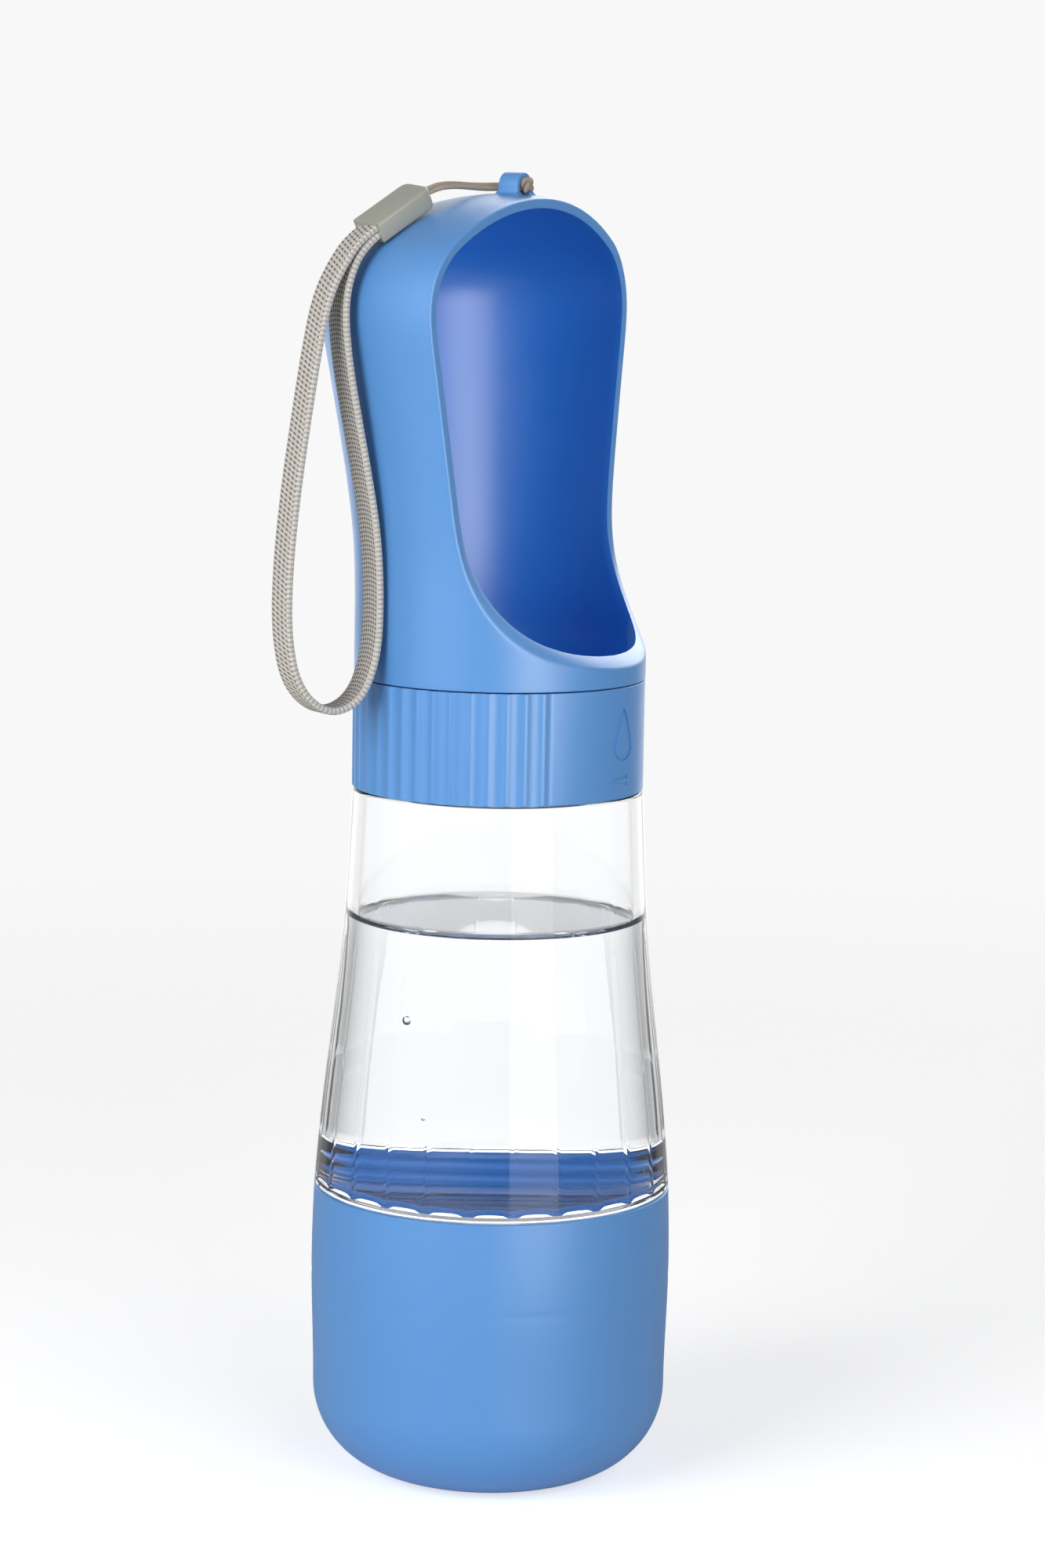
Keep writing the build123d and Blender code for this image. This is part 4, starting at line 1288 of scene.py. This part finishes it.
def build_world(look):
    """Pale surround: bright walls beside and behind the bottle, dim behind the camera."""
    world = bpy.data.worlds.new("surround")
    world.use_nodes = True
    tree = world.node_tree
    tree.nodes.clear()
    output = node(tree, "ShaderNodeOutputWorld", (600, 0))
    shown = node(tree, "ShaderNodeBackground", (400, 0))
    shown.inputs["Color"].default_value = (1, 1, 1, 1)
    ahead = Vector((-CAMERA_PLACE.x, -CAMERA_PLACE.y, 0)).normalized()
    right = ahead.cross(UP)
    soft = math_node(tree, "ADD", lobe(tree, -right, 0.2, 0.9, look.left_wall), lobe(tree, right, 0.2, 0.9, look.right_wall))
    soft = math_node(tree, "ADD", soft, lobe(tree, ahead, 0.1, 0.9, look.back_wall))
    path = node(tree, "ShaderNodeLightPath", (-400, 300))
    sheen = lobe(tree, ahead, 0.7, 0.95, look.sheen)
    sheen = math_node(tree, "ADD", sheen, lobe(tree, way_to(-45, 15), 0.6, 0.97, 0.18 * look.key))
    sheen = math_node(tree, "ADD", sheen, lobe(tree, UP, 0.3, 0.95, look.ceiling))
    sheen = math_node(tree, "ADD", sheen, lobe(tree, way_to(150, 34), 0.84, 0.98, look.rim_light))
    soft = math_node(tree, "ADD", soft, math_node(tree, "MULTIPLY", path.outputs["Is Glossy Ray"], sheen))
    through = look.edges
    for way in (ahead, -ahead, right, -right, UP, -UP):
        bright = look.through * (0.7 if way == -UP else 1)
        through = math_node(tree, "MAXIMUM", through, lobe(tree, way, 0.5, 0.92, bright, look.edges))
    over = math_node(tree, "ADD", lobe(tree, UP, 0.0, 0.12, look.overhead), 1.0)
    through = math_node(tree, "MULTIPLY", through, over)
    seen = choose(tree, path.outputs["Is Transmission Ray"], soft, through)
    tree.links.new(choose(tree, path.outputs["Is Camera Ray"], seen, look.backdrop), shown.inputs["Strength"])
    plug(tree, shown, "Background", output, "Surface")
    bpy.context.scene.world = world


def build_floor(look):
    """Pale round floor that fades into the surround."""
    bm = bmesh.new()
    bmesh.ops.create_circle(bm, cap_ends=True, cap_tris=True, segments=96, radius=1.6)
    mesh = bpy.data.meshes.new("floor")
    bm.to_mesh(mesh)
    bm.free()
    material, tree, shader, output = new_material("pale_floor")
    shader.inputs["Base Color"].default_value = look.floor
    shader.inputs["Roughness"].default_value = 0.9
    shader.inputs["Specular IOR Level"].default_value = 0.1
    place = node(tree, "ShaderNodeTexCoord", (-800, -200))
    distance = node(tree, "ShaderNodeVectorMath", (-600, -200), operation="LENGTH")
    plug(tree, place, "Object", distance, 0)
    fade = node(tree, "ShaderNodeMapRange", (-400, -200), interpolation_type="SMOOTHSTEP")
    fade.inputs["From Min"].default_value = 0.18
    fade.inputs["From Max"].default_value = 0.75
    tree.links.new(distance.outputs["Value"], fade.inputs["Value"])
    clear = node(tree, "ShaderNodeBsdfTransparent", (200, -400))
    mix = node(tree, "ShaderNodeMixShader", (450, 0))
    tree.links.new(fade.outputs["Result"], mix.inputs[0])
    path = node(tree, "ShaderNodeLightPath", (-200, 300))
    shader.inputs["Emission Color"].default_value = (1, 1, 1, 1)
    tree.links.new(math_node(tree, "MULTIPLY", path.outputs["Is Camera Ray"], look.floor_glow), shader.inputs["Emission Strength"])
    plug(tree, shader, "BSDF", mix, 1)
    plug(tree, clear, "BSDF", mix, 2)
    tree.links.new(mix.outputs[0], output.inputs["Surface"])
    mesh.materials.append(material)
    floor = bpy.data.objects.new("floor", mesh)
    bpy.context.scene.collection.objects.link(floor)
    floor.visible_transmission = False


# --- Operators ----------------------------------------------------------------
class BOTTLE_OT_finishes(bpy.types.Operator):
    """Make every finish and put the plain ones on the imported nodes"""

    bl_idname = "bottle.finishes"
    bl_label = "Finishes"

    def execute(self, context):
        make_finishes(context.scene.bottle_finish, context.scene.bottle_strap.webbing_width / MM / 2)
        for name in ("cup_gasket", "neck_gasket", "trough_ring", "valve_seal"):
            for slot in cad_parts[name].material_slots:
                slot.material = MATERIALS["rubber"]
        return {"FINISHED"}


class BOTTLE_OT_food_cup(bpy.types.Operator):
    """Build the food cup"""

    bl_idname = "bottle.food_cup"
    bl_label = "Food cup"

    def execute(self, context):
        build_food_cup(MATERIALS["plastic"])
        return {"FINISHED"}


class BOTTLE_OT_clear_body(bpy.types.Operator):
    """Build the clear body and the water in it"""

    bl_idname = "bottle.clear_body"
    bl_label = "Clear body and water"

    def execute(self, context):
        build_bottle_body(context.scene.bottle_sizes, MATERIALS["clear"])
        build_water(context.scene.bottle_sizes, MATERIALS["water"])
        return {"FINISHED"}


class BOTTLE_OT_collar(bpy.types.Operator):
    """Build the lock collar and its relief"""

    bl_idname = "bottle.collar"
    bl_label = "Lock collar"

    def execute(self, context):
        build_collar(context.scene.bottle_sizes, MATERIALS["plastic"])
        build_emblem(context.scene.bottle_sizes, MATERIALS["plastic"])
        return {"FINISHED"}


class BOTTLE_OT_trough(bpy.types.Operator):
    """Build the drinking trough with its lug"""

    bl_idname = "bottle.trough"
    bl_label = "Drinking trough"

    def execute(self, context):
        build_trough(context.scene.bottle_sizes, MATERIALS["plastic"])
        return {"FINISHED"}


class BOTTLE_OT_strap(bpy.types.Operator):
    """Build the cord, knot, sleeve and webbing"""

    bl_idname = "bottle.strap"
    bl_label = "Wrist strap"

    def execute(self, context):
        strap = context.scene.bottle_strap
        build_sleeve(strap, MATERIALS["sleeve"])
        knot = build_knot(context.scene.bottle_sizes, strap, MATERIALS["cord"])
        build_cord(strap, MATERIALS["cord"])
        build_webbing(strap, MATERIALS["webbing"])
        return {"FINISHED"}


class BOTTLE_OT_stage(bpy.types.Operator):
    """Build the camera, lamps, surround and floor"""

    bl_idname = "bottle.stage"
    bl_label = "Stage"

    def execute(self, context):
        look = context.scene.bottle_stage
        context.scene.view_settings.view_transform = "Standard"
        build_camera()
        build_world(look)
        build_floor(look)
        softbox("strip", 27.5, 8, 1.3, 0.77, 1.5, look.strip)
        softbox("strip_sheen", 27.5, 8, 1.3, 0.77, 1.5, look.strip_sheen, diffuse=False)
        softbox("key", -45, 15, 1.4, 0.8, 1.2, look.key, glossy=False)
        softbox("side", 60, 20, 1.4, 0.8, 1.2, look.side)
        return {"FINISHED"}


class BOTTLE_PT_panel(bpy.types.Panel):
    """Lists the bottle's settings and build steps"""

    bl_idname = "BOTTLE_PT_panel"
    bl_label = "Dog Water Bottle"
    bl_space_type = "VIEW_3D"
    bl_region_type = "UI"
    bl_category = "Bottle"

    def draw(self, context):
        for group in ("bottle_sizes", "bottle_strap", "bottle_finish", "bottle_stage"):
            settings = getattr(context.scene, group)
            box = self.layout.box()
            for name in settings.__annotations__:
                box.prop(settings, name)
        for operator in OPERATORS:
            self.layout.operator(operator.bl_idname)


SETTINGS = {
    "bottle_sizes": BottleSizes,
    "bottle_strap": StrapSizes,
    "bottle_finish": BottleFinish,
    "bottle_stage": StageLook,
}
OPERATORS = [
    BOTTLE_OT_finishes,
    BOTTLE_OT_stage,
    BOTTLE_OT_strap,
    BOTTLE_OT_trough,
    BOTTLE_OT_collar,
    BOTTLE_OT_clear_body,
    BOTTLE_OT_food_cup,
]


def register():
    for group in SETTINGS.values():
        bpy.utils.register_class(group)
    for name, group in SETTINGS.items():
        setattr(bpy.types.Scene, name, PointerProperty(type=group))
    for operator in OPERATORS:
        bpy.utils.register_class(operator)
    bpy.utils.register_class(BOTTLE_PT_panel)


def unregister():
    bpy.utils.unregister_class(BOTTLE_PT_panel)
    for operator in reversed(OPERATORS):
        bpy.utils.unregister_class(operator)
    for name, group in SETTINGS.items():
        delattr(bpy.types.Scene, name)
        bpy.utils.unregister_class(group)


def main():
    register()
    bpy.ops.bottle.finishes()
    bpy.ops.bottle.stage()
    bpy.ops.bottle.strap()
    bpy.ops.bottle.trough()
    bpy.ops.bottle.collar()
    bpy.ops.bottle.clear_body()
    bpy.ops.bottle.food_cup()


if __name__ == "__main__":
    main()
